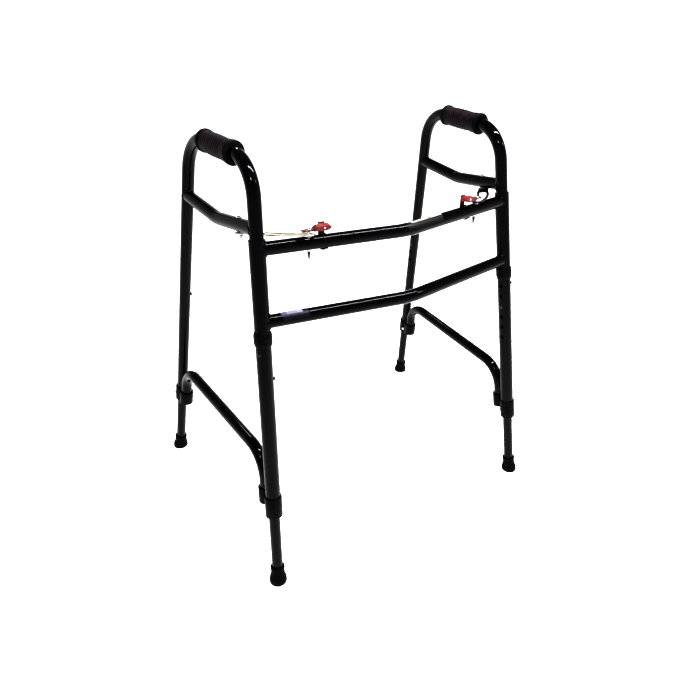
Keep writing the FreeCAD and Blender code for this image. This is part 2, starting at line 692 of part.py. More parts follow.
def locking_strut(name, side):
    """Slotted flat strut that turns on the bolt and slides along the latch pin."""
    drop = "-(brace_od / 2 + strut_gap + strut_thick)"
    place = bolt_frame(side)
    if side < 0:
        # the mirror-image strut is the same plate turned over about its length
        place = place * Placement(Vector(0, 0, 2 * size(drop) + size("strut_thick")),
                                  Rotation(Vector(1, 0, 0), 180))
    body = new_body(f"{name}_locking_strut", place)
    offset = Placement(Vector(0, 0, size(drop)), Rotation())
    shapes = [("Boss", pad), ("Band", pad), ("Slot", pocket), ("BoltHole", pocket)]
    for title, action in shapes:
        sketch = new_sketch(body, f"{title}Sketch", "XY_Plane", offset)
        sketch.setExpression("AttachmentOffset.Base.z", bound(drop))
        if title == "Boss":
            add_circle(sketch, "strut_boss * 2")
        elif title == "Band":
            add_arc_slot(sketch, "strut_band")
        elif title == "Slot":
            add_arc_slot(sketch, "strut_slot")
        else:
            add_circle(sketch, "bolt_dia + 0.16")
        if action is pad:
            pad(body, sketch, "strut_thick", title)
        else:
            pocket(body, sketch, "strut_thick", title, reverse=True)
        if title == "Boss":
            web = new_sketch(body, "WebSketch", "XY_Plane", offset)
            web.setExpression("AttachmentOffset.Base.z", bound(drop))
            reach = "slot_mid - slot_half"
            add_outline(web, [("0", "-strut_boss"), (reach, "4.3 - strut_band / 2"),
                              (reach, "3 + strut_band / 2"), ("0", "strut_boss")])
            pad(body, web, "strut_thick", "Web")
    return body


def latch_bushing(name, side):
    """Flanged bush through the crossbar that guides the latch pin."""
    body = new_body(f"{name}_latch_bushing", bar_frame(side))
    top = "tube_od / 2 + 0.05"
    revolve(body, [("pin_bore / 2", "-14"), ("bush_od / 2", "-14"), ("bush_od / 2", top),
                   ("bush_flange / 2", top), ("bush_flange / 2", f"{top} + bush_rim"),
                   ("pin_bore / 2", f"{top} + bush_rim")])


def latch_pin(name, side):
    """Pointed pin through strut slot and crossbar, lifted by the lever under its head."""
    body = new_body(f"{name}_latch_pin", bar_frame(side))
    shank = "pin_dia / 2"
    head_low = "fork_low + fork_thick + slide_gap"
    revolve(body, [("0", "-pin_below"), ("1", "-pin_below"), (shank, "-pin_below + 10"),
                   (shank, head_low), ("5.2", head_low), ("5.2", f"{head_low} + 1.2"),
                   ("3.6", "pin_above"), ("0", "pin_above")])


def lever_outline():
    """Side profile of the release lever: fork over the pin, hump at the pivot, raised tip."""
    return [("-13", "fork_low"), ("15", "fork_low"), ("20", "20.8"), ("34", "20.6"), ("43", "24.5"),
            ("45", "28.5"), ("42", "31.5"), ("34", "33"), ("22", "33"), ("14", "30.5"),
            ("8", "fork_low + fork_thick"), ("-13", "fork_low + fork_thick")]


def release_lever(name, side):
    """Coated lever that rocks on its pivot and lifts the latch pin."""
    body = new_body(f"{name}_release_lever", bar_frame(side))
    profile = new_sketch(body, "SideProfile", "XZ_Plane")
    add_outline(profile, lever_outline())
    pad(body, profile, "lever_wide", "Block", both_ways=True)
    for number, edge in enumerate((1, -1)):
        waist = new_sketch(body, f"ForkSide_{number}", "XY_Plane")
        add_outline(waist, [("-20", f"{edge * 5}"), ("7", f"{edge * 5}"),
                            ("12", f"{edge} * lever_wide"), ("-20", f"{edge} * lever_wide")])
        pocket(body, waist, "60", f"ForkCut_{number}", reverse=True)
    slot = new_sketch(body, "PinSlotSketch", "XY_Plane")
    add_outline(slot, [("-5", "-3.5"), ("5", "-3.5"), ("5", "3.5"), ("-5", "3.5")])
    pocket(body, slot, "60", "PinSlot", reverse=True)
    pivot = bar_frame(side) * Placement(Vector(size("pivot_along"), 20, size("pivot_up")),
                                        Rotation(Vector(1, 0, 0), 90))
    pierce(body, "PivotBore", pivot, "pivot_dia + 0.16", "40")


def latch_bracket(name, side):
    """Saddle round the back of the crossbar with a post that carries the lever's pivot."""
    body = new_body(f"{name}_latch_bracket", bar_frame(side))
    rear = "-1" if side > 0 else "1"
    inner, outer = "tube_od / 2 + 0.05", "tube_od / 2 + 2.05"
    ring = new_sketch(body, "RingSketch", "YZ_Plane",
                      Placement(Vector(0, 0, size("pivot_along") - 7), Rotation()))
    add_circle(ring, f"2 * ({outer})")
    pad(body, ring, "14", "Ring")
    post = new_sketch(body, "PostSketch", "YZ_Plane",
                      Placement(Vector(0, 0, size("pivot_along") - 6), Rotation()))
    near, far = f"{rear} * post_back", f"{rear} * (post_back + post_thick)"
    add_outline(post, [(near, "0"), (far, "0"), (far, "pivot_up + 5"), (near, "pivot_up + 5")])
    pad(body, post, "12", "Post")
    front = new_sketch(body, "FrontHalf", "YZ_Plane",
                       Placement(Vector(0, 0, size("pivot_along") - 10), Rotation()))
    add_outline(front, [(f"{rear} * 7", "30"), (f"{rear} * -30", "30"), (f"{rear} * -30", "-12.2"),
                        (f"{rear} * -6", "-12.2"), (f"{rear} * 7", "0")])
    pocket(body, front, "20", "OpenFront", reverse=True)
    bar = bar_frame(side) * Placement(Vector(-5, 0, 0), Rotation(Vector(0, 1, 0), 90))
    pierce(body, "BarBore", bar, f"2 * ({inner})", "60")
    screw = bar_frame(side) * Placement(Vector(size("pivot_along"), 0, -20), Rotation())
    pierce(body, "ScrewHole", screw, "4.2", "12")
    pivot = bar_frame(side) * Placement(Vector(size("pivot_along"), 20, size("pivot_up")),
                                        Rotation(Vector(1, 0, 0), 90))
    pierce(body, "PivotHole", pivot, "pivot_dia + 0.1", "40")


def small_group(label, builder):
    """Identical fasteners of both latches, kept as one group of separate solids."""
    group = doc.addObject("Part::Compound", label)
    group.Links = [builder(name, side) for name, side in SIDES.items()]
    keep(label, group)


def pivot_pin(name, side):
    """Cross pin of a release lever, with a head outside the bracket's post."""
    rear = -1 if side > 0 else 1
    start = Vector(size("pivot_along"), rear * (size("post_back + post_thick") + 0.1), size("pivot_up"))
    turn = Rotation(Vector(0, 0, 1), Vector(0, -rear, 0))
    place = bar_frame(side) * Placement(start, turn)
    shank = doc.addObject("Part::Cylinder", f"{name}_pivot_shank")
    shank.setExpression("Radius", bound("pivot_dia / 2"))
    shank.setExpression("Height", bound("post_back + post_thick + lever_wide / 2 + 0.8"))
    shank.Placement = place
    head = doc.addObject("Part::Cylinder", f"{name}_pivot_head")
    head.Radius = 3.4
    head.Height = 1.4
    head.Placement = place * Placement(Vector(0, 0, -1.4), Rotation())
    pin = doc.addObject("Part::Fuse", f"{name}_pivot")
    pin.Base = shank
    pin.Tool = head
    return pin


def bracket_screw(name, side):
    under = -(size("tube_od") / 2 + 2.1)
    place = bar_frame(side) * Placement(Vector(size("pivot_along"), 0, under),
                                        Rotation(Vector(1, 0, 0), 180))
    return screw_head(f"{name}_bracket", place, -5.0, 0.0)


def lever_spring(name, side):
    """Torsion spring round the pivot, between the lever and the post."""
    rear = -1 if side > 0 else 1
    wire = 0.45
    start = Vector(size("pivot_along"), rear * (size("lever_wide") / 2 + 0.9), size("pivot_up"))
    place = bar_frame(side) * Placement(start, Rotation(Vector(0, 0, 1), Vector(0, rear, 0)))
    helix = doc.addObject("Part::Helix", f"{name}_spring_path")
    helix.Pitch = 1.0
    helix.Height = 1.4
    helix.Radius = 3.2
    helix.Placement = place
    wire_end = doc.addObject("Part::Circle", f"{name}_spring_wire")
    wire_end.Radius = wire
    wire_end.Placement = place * Placement(Vector(3.2, 0, 0), Rotation(Vector(1, 0, 0), 90))
    coil = doc.addObject("Part::Sweep", f"{name}_lever_spring")
    coil.Sections = [wire_end]
    coil.Spine = (helix, ["Edge1"])
    coil.Solid = True
    coil.Frenet = True
    keep(f"{name}_lever_spring", coil)


# ---------------------------------------------------------------- assembly

def build():
    upper_crossbar()
    crossbar("lower_crossbar", "lower_bar_up")
    labels()
    small_group("latch_pivot_pins", pivot_pin)
    small_group("latch_bracket_screws", bracket_screw)
    for name, side in SIDES.items():
        for piece in (hinge_sleeve, latch_bracket, latch_bushing, lever_spring, side_tube, hand_grip,
                      front_leg_sleeve, upper_side_brace, lower_side_brace, hinge_collar, leg_screws,
                      strut_bolt, strut_nut, locking_strut, release_lever, latch_pin):
            piece(name, side)
        for leg in ("front", "rear"):
            for piece in (collar, leg_extension, rubber_tip, snap_button, button_clip):
                piece(name, side, leg)


def export():
    """Recompute, check every object and write one STEP file for each sub-part."""
    doc.recompute()
    for thing in doc.Objects:
        if "Invalid" in thing.State or "Error" in thing.State:
            raise RuntimeError(f"{thing.Name} did not compute: {thing.State}")
    os.makedirs("parts", exist_ok=True)
    for node in nodes:
        shape = node.Shape
        if shape.isNull() or not shape.isValid() or not shape.Solids:
            raise RuntimeError(f"{node.Label} has no valid solid")
        shape.exportStep(f"parts/{node.Label}.step")
        print(f"{node.Label:32s} {len(shape.Solids)} solid(s) {shape.Volume / 1000:9.2f} cm3")
    boxes = [node.Shape.BoundBox for node in nodes]
    print("low ", [round(min(getattr(box, edge) for box in boxes), 2) for edge in ("XMin", "YMin", "ZMin")])
    print("high", [round(max(getattr(box, edge) for box in boxes), 2) for edge in ("XMax", "YMax", "ZMax")])


build()
export()
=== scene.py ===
import json
import math

import bmesh
import bpy
from mathutils import Matrix, Vector


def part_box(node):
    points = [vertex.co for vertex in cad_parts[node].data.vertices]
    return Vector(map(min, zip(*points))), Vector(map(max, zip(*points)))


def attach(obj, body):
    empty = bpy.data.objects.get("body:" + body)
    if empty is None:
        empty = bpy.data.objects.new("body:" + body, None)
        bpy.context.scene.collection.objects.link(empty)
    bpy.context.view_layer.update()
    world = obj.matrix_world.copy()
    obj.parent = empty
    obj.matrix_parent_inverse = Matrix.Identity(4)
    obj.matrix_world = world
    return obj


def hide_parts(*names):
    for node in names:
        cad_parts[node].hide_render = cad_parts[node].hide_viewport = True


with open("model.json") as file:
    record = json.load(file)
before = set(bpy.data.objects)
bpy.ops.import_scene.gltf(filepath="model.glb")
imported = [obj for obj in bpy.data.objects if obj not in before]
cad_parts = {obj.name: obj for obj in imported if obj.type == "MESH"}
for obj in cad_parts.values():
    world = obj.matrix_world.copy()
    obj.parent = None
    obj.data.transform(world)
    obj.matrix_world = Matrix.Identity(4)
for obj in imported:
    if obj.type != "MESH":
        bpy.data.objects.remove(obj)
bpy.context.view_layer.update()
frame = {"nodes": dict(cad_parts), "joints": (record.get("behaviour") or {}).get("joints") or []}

bl_info = {
    "name": "Folding walking frame",
    "version": (1, 0, 0),
    "blender": (4, 5, 0),
    "location": "View3D > Sidebar > Walking frame",
    "description": "Grips, fittings, welds and finishes of a folding walking frame",
    "category": "Object",
}

MM = 0.001
SIDES = ("left", "right")
LEGS = ("front", "rear")
JOINTS = {joint["name"]: joint for joint in frame["joints"]}

# measures of the frame, in mm
TUBE = 12.7                        # radius of the crossbars and the upper braces
SLEEVE = 15.1                      # radius of the sleeves round the front legs
SIDE_TUBE = 12.75                  # radius of the side tubes, where the braces' beads sit
BAR_HEIGHTS = {"upper": 698.2, "lower": 568.3}
BAR_BOW = 47.5                     # how far the crossbars' bend stands in front of their ends
BRACE_DIP = (268.0, 712.5)         # bend of the upper brace: to the rear, and up
BRACE_ENDS = {"front": 734.5, "rear": 720.5}
FOOT_SPREAD = 538.6                # from a front foot to the rear one
LEG_LEANS = {"front": 9, "rear": 10}   # in degrees, each towards the other
HINGE_RING_LOW = 532.5             # up the front leg
PIVOT_ALONG, PIVOT_UP = 28, 27     # lever's pivot, from where its pin crosses the bar's axis
UPPER_LABEL, LOWER_LABEL = (-6, 88), (-262, -212)   # along X


# ---------------------------------------------------------------- places, from the frame's joints

def joint_point(name):
    return Vector(JOINTS[name]["pos_m"])


def joint_axis(name):
    return Vector(JOINTS[name]["axis"]).normalized()


def basis(origin, up, side):
    """Matrix whose Z is up and whose X is as near to side as it can be."""
    z = up.normalized()
    x = (side - z * side.dot(z)).normalized()
    return Matrix.Translation(origin) @ Matrix((x, z.cross(x), z)).transposed().to_4x4()


def rearward(side):
    """Direction in which a side frame's feet follow each other."""
    front = joint_point(f"{side}_front_leg_height")
    rear = joint_point(f"{side}_rear_leg_height")
    return (rear - front).normalized()


def leg_place(side, leg, height=0.0):
    """On a leg's axis at a distance in mm from its foot: Z runs up the leg, X to the rear."""
    name = f"{side}_{leg}_leg_height"
    up = -joint_axis(name)
    return basis(joint_point(name) + up * height * MM, up, rearward(side))


def leg_spot(side, leg, height, turn, radius):
    """On a leg's skin: Z points out, turned in degrees from inward towards the front."""
    leg_axes = leg_place(side, leg, height)
    up, back = leg_axes.col[2].to_3d(), leg_axes.col[0].to_3d()
    inward = leg_axes.col[1].to_3d()
    if inward.x * leg_axes.translation.x > 0:
        inward = -inward
    out = inward * math.cos(math.radians(turn)) - back * math.sin(math.radians(turn))
    return basis(leg_axes.translation + out * radius * MM, out, up)


def on_side(side, along, up):
    """Point in a side frame's plane, in mm to the rear of and above its front foot."""
    back = rearward(side)
    leg = -joint_axis(f"{side}_front_leg_height")
    rise = (leg - back * leg.dot(back)).normalized()
    return joint_point(f"{side}_front_leg_height") + (back * along + rise * up) * MM


def button_place(side, leg):
    """On a leg's axis at its snap button: Z points out through the button, X up the leg."""
    name = f"{side}_{leg}_button_press"
    return basis(joint_point(name), -joint_axis(name), -joint_axis(f"{side}_{leg}_leg_height"))


def strut_place(side):
    """On a strut bolt: Z runs up the bolt, X towards the latch pin."""
    pivot = joint_point(f"{side}_strut_swing")
    up = joint_axis(f"{side}_strut_swing")
    if up.z < 0:
        up = -up
    return basis(pivot, up, joint_point(f"{side}_pin_lift") - pivot)


def latch_place(side):
    """On the upper crossbar's axis at the latch pin: Z is up, X along the bar to the middle."""
    pin = joint_point(f"{side}_pin_lift")
    towards = joint_point(f"{side}_lever_press") - pin
    return basis(pin, Vector((0, 0, 1)), towards)


def lever_back(side):
    """1 or -1: the side of the latch's own Y axis that faces the user."""
    return 1 if latch_place(side).to_3x3().col[1].y > 0 else -1


def grip_place(side):
    """At a grip's middle: Z runs to the rear along the rail, X is up."""
    low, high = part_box(f"{side}_hand_grip")
    return basis((low + high) / 2, rearward(side), Vector((0, 0, 1)))


# ---------------------------------------------------------------- settings

def length(name, default, description):
    return bpy.props.FloatProperty(name=name, description=description, default=default * MM,
                                   min=0.0, precision=5, subtype="DISTANCE", unit="LENGTH")


def colour(name, default, description):
    return bpy.props.StringProperty(name=name, description=description, default=default)


def hex_colour(text):
    """Linear colour of an sRGB hex value."""
    parts = [int(text[i:i + 2], 16) / 255 for i in (1, 3, 5)]
    linear = [p / 12.92 if p <= 0.04045 else ((p + 0.055) / 1.055) ** 2.4 for p in parts]
    return (*linear, 1.0)


class StageSettings(bpy.types.PropertyGroup):
    camera_turn: bpy.props.FloatProperty(
        name="Camera turn", description="Angle of the view round the frame, from straight ahead",
        default=math.radians(-32.2), subtype="ANGLE")
    camera_tilt: bpy.props.FloatProperty(
        name="Camera tilt", description="Angle of the view below the horizon",
        default=math.radians(30.66), subtype="ANGLE")
    camera_roll: bpy.props.FloatProperty(
        name="Camera roll", description="Turn of the picture about the view's own line",
        default=math.radians(0.89), subtype="ANGLE")
    camera_spot: bpy.props.FloatVectorProperty(
        name="Camera place", description="Where the camera stands", size=3,
        default=(-0.6659, -1.0518, 1.0802), subtype="TRANSLATION", unit="LENGTH")
    lens: bpy.props.FloatProperty(
        name="Lens", description="Focal length in mm on a 36 mm sensor", default=30.63)
    shift: bpy.props.FloatVectorProperty(
        name="Shift", description="Sideways and upward shift of the picture, in picture widths",
        size=2, default=(0.0033, -0.0064))
    floor_colour: colour("Floor", "#F8F8F7", "Colour of the studio floor")


class GripSettings(bpy.types.PropertyGroup):
    bore: length("Bore", 12.85, "Inner radius, close round the rail")
    flange: length("Flange", 22.1, "Radius of the rings at both ends")
    collar: length("Collar", 20.6, "Radius of the plain collar at the front end")
    palm: length("Palm", 20.4, "Radius at the middle of the palm swell")
    waist: length("Waist", 19.0, "Radius beside the end rings")
    half: length("Half length", 61.5, "Half the length along the rail")
    groove: length("Groove", 0.7, "Depth of the grooves round the palm")
    tint: colour("Palm colour", "#1E161C", "Vinyl of the palm swell")
    end_tint: colour("End colour", "#0E0B0D", "Vinyl of the collar and end rings")


class FittingSettings(bpy.types.PropertyGroup):
    collar_edge: length("Collar edge", 1.3, "Radius of the moulded collars' edges")
    strut_edge: length("Strut edge", 0.35, "Radius of the stamped strut's edges")
    dip_voxel: length("Dip fineness", 0.55, "Grain of the mesh of the dipped lever")
    bead: length("Weld bead", 1.7, "Radius of the weld beads")
    paint: colour("Paint", "#040305", "Powder coat of the tubes")
    nylon: colour("Nylon", "#080708", "Moulded collars")
    rubber: colour("Rubber", "#080809", "Leg tips")
    lever: colour("Lever coating", "#641216", "Dipped coating of the levers and brackets")
    strut: colour("Strut plating", "#D2C8BA", "Plating of the locking struts")
    zinc: colour("Zinc", "#D5D6D8", "Plating of the screws, bolts and bushes")


# ---------------------------------------------------------------- modelling

def clear_selection():
    if bpy.context.object and bpy.context.object.mode != "OBJECT":
        bpy.ops.object.mode_set(mode="OBJECT")
    bpy.ops.object.select_all(action="DESELECT")


def pick(piece):
    """Make one piece the only selected and active one."""
    clear_selection()
    piece.select_set(True)
    bpy.context.view_layer.objects.active = piece


def choose(piece, test):
    """In edit mode, select only the faces whose middle and normal pass a test."""
    bpy.ops.mesh.select_mode(type="FACE")
    bpy.ops.mesh.select_all(action="DESELECT")
    mesh = bmesh.from_edit_mesh(piece.data)
    for face in mesh.faces:
        face.select_set(test(face.calc_center_median(), face.normal))
    bmesh.update_edit_mesh(piece.data)


def turned(name, profile, sides=40, ring=False):
    """Turned piece about Z from (radius, height) pairs in mm: a solid, or a ring that closes."""
    clear_selection()
    radius, height = profile[0]
    bpy.ops.mesh.primitive_circle_add(vertices=sides, radius=radius * MM, location=(0, 0, 0),
                                      fill_type="NOTHING" if ring else "NGON")
    piece = bpy.context.object
    piece.name = name
    bpy.ops.object.mode_set(mode="EDIT")
    bpy.ops.mesh.select_all(action="SELECT")
    bpy.ops.transform.translate(value=(0, 0, height * MM))
    extrude = bpy.ops.mesh.extrude_edges_move if ring else bpy.ops.mesh.extrude_region_move
    for next_radius, next_height in profile[1:]:
        extrude(TRANSFORM_OT_translate={"value": (0, 0, (next_height - height) * MM)})
        grow = next_radius / radius
        if abs(grow - 1) > 1e-6:
            bpy.ops.transform.resize(value=(grow, grow, 1),
                                     center_override=(0, 0, next_height * MM))
        radius, height = next_radius, next_height
    bpy.ops.mesh.select_all(action="SELECT")
    bpy.ops.mesh.remove_doubles(threshold=0.002 * MM)
    bpy.ops.mesh.normals_make_consistent(inside=False)
    bpy.ops.object.mode_set(mode="OBJECT")
    return piece


def copied_node(node, name):
    """Own copy of a CAD node's mesh, with its loose triangles merged into clean faces."""
    piece = bpy.data.objects.new(name, frame["nodes"][node].data.copy())
    piece.data.materials.clear()
    bpy.context.scene.collection.objects.link(piece)
    pick(piece)
    bpy.ops.object.mode_set(mode="EDIT")
    bpy.ops.mesh.select_all(action="SELECT")
    bpy.ops.mesh.remove_doubles(threshold=0.01 * MM)
    bpy.ops.mesh.dissolve_limited(angle_limit=math.radians(0.8))
    bpy.ops.mesh.normals_make_consistent(inside=False)
    bpy.ops.object.mode_set(mode="OBJECT")
    return piece


def round_edges(piece, width, segments=2, angle=35.0):
    """Round the edges that are sharper than an angle."""
    pick(piece)
    bevel = piece.modifiers.new("rounded_edges", "BEVEL")
    bevel.width = width
    bevel.segments = segments
    bevel.limit_method = "ANGLE"
    bevel.angle_limit = math.radians(angle)
    bpy.ops.object.modifier_apply(modifier=bevel.name)


def cut_away(piece, cutter):
    """Cut one piece out of another, and remove the cutter."""
    pick(piece)
    cut = piece.modifiers.new("cut", "BOOLEAN")
    cut.operation = "DIFFERENCE"
    cut.object = cutter
    cut.solver = "EXACT"
    bpy.ops.object.modifier_apply(modifier=cut.name)
    pick(cutter)
    bpy.ops.object.delete()


def smooth(piece, angle=35.0):
    """Smooth shading, except at edges sharper than an angle."""
    pick(piece)
    bpy.ops.object.shade_smooth_by_angle(angle=math.radians(angle))


def settle(piece, place):
    """Put a piece in its place, with the place in its mesh."""
    piece.matrix_world = place
    pick(piece)
    bpy.ops.object.transform_apply(location=True, rotation=True, scale=True)


def twin(pattern, name, place):
    """Copy of a pattern piece, with its own mesh, in its place."""
    pick(pattern)
    bpy.ops.object.duplicate()
    piece = bpy.context.object
    piece.name = name
    settle(piece, place)
    return piece


def drop(*pieces):
    for piece in pieces:
        pick(piece)
        bpy.ops.object.delete()


def joined(pieces, name):
    pick(pieces[0])
    for piece in pieces:
        piece.select_set(True)
    bpy.ops.object.join()
    piece = bpy.context.object
    piece.name = name
    return piece


def hand_over(piece, body, nodes, slot, *materials):
    """Give a finished piece its body, the CAD nodes that it stands for, and its finish."""
    if materials:
        piece.data.materials.clear()
        for material in materials:
            piece.data.materials.append(material)
    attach(piece, body)
    if nodes:
        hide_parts(*nodes)


# ---------------------------------------------------------------- grips and rubber tips

class WALKER_OT_hand_grips(bpy.types.Operator):
    """Two moulded vinyl grips with end rings, a front collar and a grooved palm swell"""
    bl_idname = "walker.hand_grips"
    bl_label = "Hand grips"

    def execute(self, context):
        sizes = context.scene.walker_grip
        bore, flange, collar, palm, waist, half, groove = (
            value / MM for value in (sizes.bore, sizes.flange, sizes.collar, sizes.palm,
                                     sizes.waist, sizes.half, sizes.groove))
        profile = [(bore, -half), (flange - 3, -half), (flange - 1, -half + 0.8),
                   (flange, -half + 2.6), (flange, -half + 7.4), (flange - 0.6, -half + 8.8),
                   (collar, -half + 9.6),
                   (collar, -half + 23.5), (collar - 0.6, -half + 25), (collar - 2.2, -half + 25.6),
                   (waist - 0.6, -half + 26.6)]
        start, end = -half + 28, half - 11
        count = 11
        pitch = (end - start) / count
        for number in range(count):
            low = start + number * pitch
            for share, depth in ((0.0, groove), (0.22, 0.0), (0.5, -0.12), (0.78, 0.0)):
                height = low + share * pitch
                swell = math.sin(math.pi * (height - start) / (end - start)) ** 0.7
                profile.append((waist + (palm - waist) * swell - depth, height))
        profile += [(waist - groove, end), (waist, half - 10), (flange - 1.2, half - 8.6),
                    (flange - 0.4, half - 7), (flange - 0.4, half - 2.4),
                    (flange - 1.6, half - 0.8), (flange - 4, half), (bore, half), (bore, -half)]
        pattern = turned("grip_pattern", profile, sides=64, ring=True)
        bpy.ops.object.mode_set(mode="EDIT")
        bpy.ops.mesh.select_all(action="SELECT")
        # the palm is a little deeper than it is wide
        bpy.ops.transform.resize(value=(1.0, 0.965, 1.0), center_override=(0, 0, 0))
        choose(pattern, lambda middle, normal: middle.to_2d().length < bore * MM * 1.01)
        bpy.ops.transform.resize(value=(1.0, 1 / 0.965, 1.0), center_override=(0, 0, 0))
        bpy.ops.object.mode_set(mode="OBJECT")
        vinyl, ends = grip_vinyl("textured_vinyl_palm", sizes.tint), grip_vinyl("smooth_vinyl_ends",
                                                                                   sizes.end_tint)
        pattern.data.materials.append(vinyl)
        pattern.data.materials.append(ends)
        for face in pattern.data.polygons:
            if not (start - 1.5) * MM < face.center.z < (end + 0.5) * MM:
                face.material_index = 1
        smooth(pattern, 40)
        for side in SIDES:
            grip = twin(pattern, f"{side}_grip_moulding", grip_place(side))
            hand_over(grip, f"{side}_side_frame", [f"{side}_hand_grip"], "black_vinyl")
        drop(pattern)
        return {"FINISHED"}


class WALKER_OT_rubber_tips(bpy.types.Operator):
    """Four rubber leg tips with a flared foot, stepped neck and bead, cut level with the floor"""
    bl_idname = "walker.rubber_tips"
    bl_label = "Rubber tips"

    def execute(self, context):
        rubber = tip_rubber(context.scene.walker_fitting.rubber)
        profile = [(11.6, 8), (11.6, 40), (13.3, 40), (14.6, 39.4), (15.2, 38), (15.2, 34.4),
                   (14.8, 33.4), (14.3, 32.8), (14.3, 30), (14.7, 29.4), (14.7, 28), (14.3, 27.4),
                   (14.5, 24), (15.2, 20), (16.4, 15), (17.6, 11.6), (18.3, 8), (18.5, 5),
                   (18.5, 1), (18.1, -1), (16.4, -5), (15.0, -5), (0.4, -5), (0.4, 8), (11.6, 8)]
        pattern = turned("tip_pattern", profile, sides=56, ring=True)
        for side in SIDES:
            for leg in LEGS:
                tip = twin(pattern, f"{side}_{leg}_tip_moulding", leg_place(side, leg))
                bpy.ops.object.mode_set(mode="EDIT")
                bpy.ops.mesh.select_all(action="SELECT")
                bpy.ops.mesh.bisect(plane_co=(0, 0, 0), plane_no=(0, 0, 1), clear_inner=True,
                                    use_fill=True)
                self.tread(tip)
                bpy.ops.object.mode_set(mode="OBJECT")
                smooth(tip, 42)
                hand_over(tip, f"{side}_{leg}_leg", [f"{side}_{leg}_rubber_tip"], "black_rubber",
                          rubber)
        drop(pattern)
        return {"FINISHED"}

    def tread(self, tip):
        """Shallow round channel in the sole."""
        choose(tip, lambda middle, normal: middle.z < 0.05 * MM and normal.z < -0.9)
        for _ in range(2):
            bpy.ops.mesh.inset(thickness=2.4 * MM, depth=0.0)
        bpy.ops.mesh.extrude_region_move(TRANSFORM_OT_translate={"value": (0, 0, 1.0 * MM)})


# ---------------------------------------------------------------- collars

class WALKER_OT_collars(bpy.types.Operator):
    """Moulded leg collars and hinge rings with rounded edges"""
    bl_idname = "walker.collars"
    bl_label = "Collars"

    def execute(self, context):
        sizes = context.scene.walker_fitting
        nylon = moulded_nylon(sizes.nylon)
        for side in SIDES:
            for leg in LEGS:
                node = f"{side}_{leg}_leg_collar"
                piece = copied_node(node, f"{node}_moulding")
                round_edges(piece, sizes.collar_edge, 3, 50)
                smooth(piece, 40)
                hand_over(piece, f"{side}_side_frame", [node], "black_plastic", nylon)
            self.hinge_ring(side, nylon)
        return {"FINISHED"}

    def hinge_ring(self, side, nylon):
        """Bearing ring in two halves: a parting groove in the middle and a lip at each end."""
        profile = [(12.75, 0), (14.6, 0), (15.4, 0.5), (16.0, 2.2), (16.9, 5.2), (17.4, 7.2),
                   (17.5, 9), (17.5, 14.2), (17.1, 14.6), (17.1, 15.4), (17.5, 15.8),
                   (17.5, 21), (17.4, 22.8),
                   (16.9, 24.8), (16.0, 27.8), (15.4, 29.5), (14.6, 30), (12.75, 30), (12.75, 0)]
        ring = turned("ring_pattern", profile, sides=56, ring=True)
        smooth(ring, 40)
        settle(ring, leg_place(side, "front", HINGE_RING_LOW))
        ring.name = f"{side}_hinge_ring"
        hand_over(ring, f"{side}_side_frame", [f"{side}_hinge_collar"], "black_plastic", nylon)


# ---------------------------------------------------------------- screws, bolts and pins

def cross_recess(head, top, width=4.2, deep=1.3):
    """Cross slot cut into the top of a screw head."""
    for turn in (0.0, math.radians(90)):
        clear_selection()
        bpy.ops.mesh.primitive_cube_add(size=1, location=(0, 0, top * MM), rotation=(0, 0, turn))
        blade = bpy.context.object
        blade.scale = (width * MM, 0.9 * MM, 2 * deep * MM)
        bpy.ops.object.mode_set(mode="EDIT")
        choose(blade, lambda middle, normal: normal.z < -0.9)
        bpy.ops.transform.resize(value=(0.55, 0.7, 1))
        bpy.ops.object.mode_set(mode="OBJECT")
        cut_away(head, blade)


def pan_head(name):
    """Pan head screw: shank down to -8 mm, seat at 0 and a domed head with a cross recess."""
    screw = turned(name, [(1.4, -5.5), (1.95, -5.0), (1.95, 0), (3.3, 0), (3.75, 0.3), (3.8, 0.9),
                          (3.55, 1.7), (3.0, 2.2), (2.0, 2.5), (0.8, 2.6)], sides=28)
    cross_recess(screw, 2.6)
    smooth(screw, 32)
    return screw


class WALKER_OT_screws(bpy.types.Operator):
    """Pan head screws of the collars, the front leg sleeves and the latch brackets"""
    bl_idname = "walker.screws"
    bl_label = "Screws"

    def execute(self, context):
        zinc = zinc_plate(context.scene.walker_fitting.zinc)
        pattern = pan_head("screw_pattern")
        pattern.data.materials.append(zinc)
        # the leg, the height up it, the turn round it and the radius of the seat
        spots = (("rear", 190.3, 35.0, 16.3), ("rear", 190.3, 215.0, 16.3),
                 ("front", 179.7, -60.0, 17.5), ("front", 520.5, 150.0, SLEEVE))
        for side in SIDES:
            screws = [twin(pattern, f"screw_{number}", leg_spot(side, *spot))
                      for number, spot in enumerate(spots)]
            # the sleeve's screw is black, the collars' ones are bright
            screws[3].data.materials[0] = blackened_steel()
            group = joined(screws, f"{side}_collar_screws")
            hand_over(group, f"{side}_side_frame", [f"{side}_leg_screws"], "zinc_steel")
        turn_over = Matrix.Rotation(math.pi, 4, "X")
        under = Matrix.Translation(Vector((PIVOT_ALONG, 0, -14.8)) * MM)
        screws = [twin(pattern, f"bracket_screw_{side}", latch_place(side) @ under @ turn_over)
                  for side in SIDES]
        hand_over(joined(screws, "bracket_screws"), "cross_frame", ["latch_bracket_screws"],
                  "zinc_steel")
        drop(pattern)
        return {"FINISHED"}


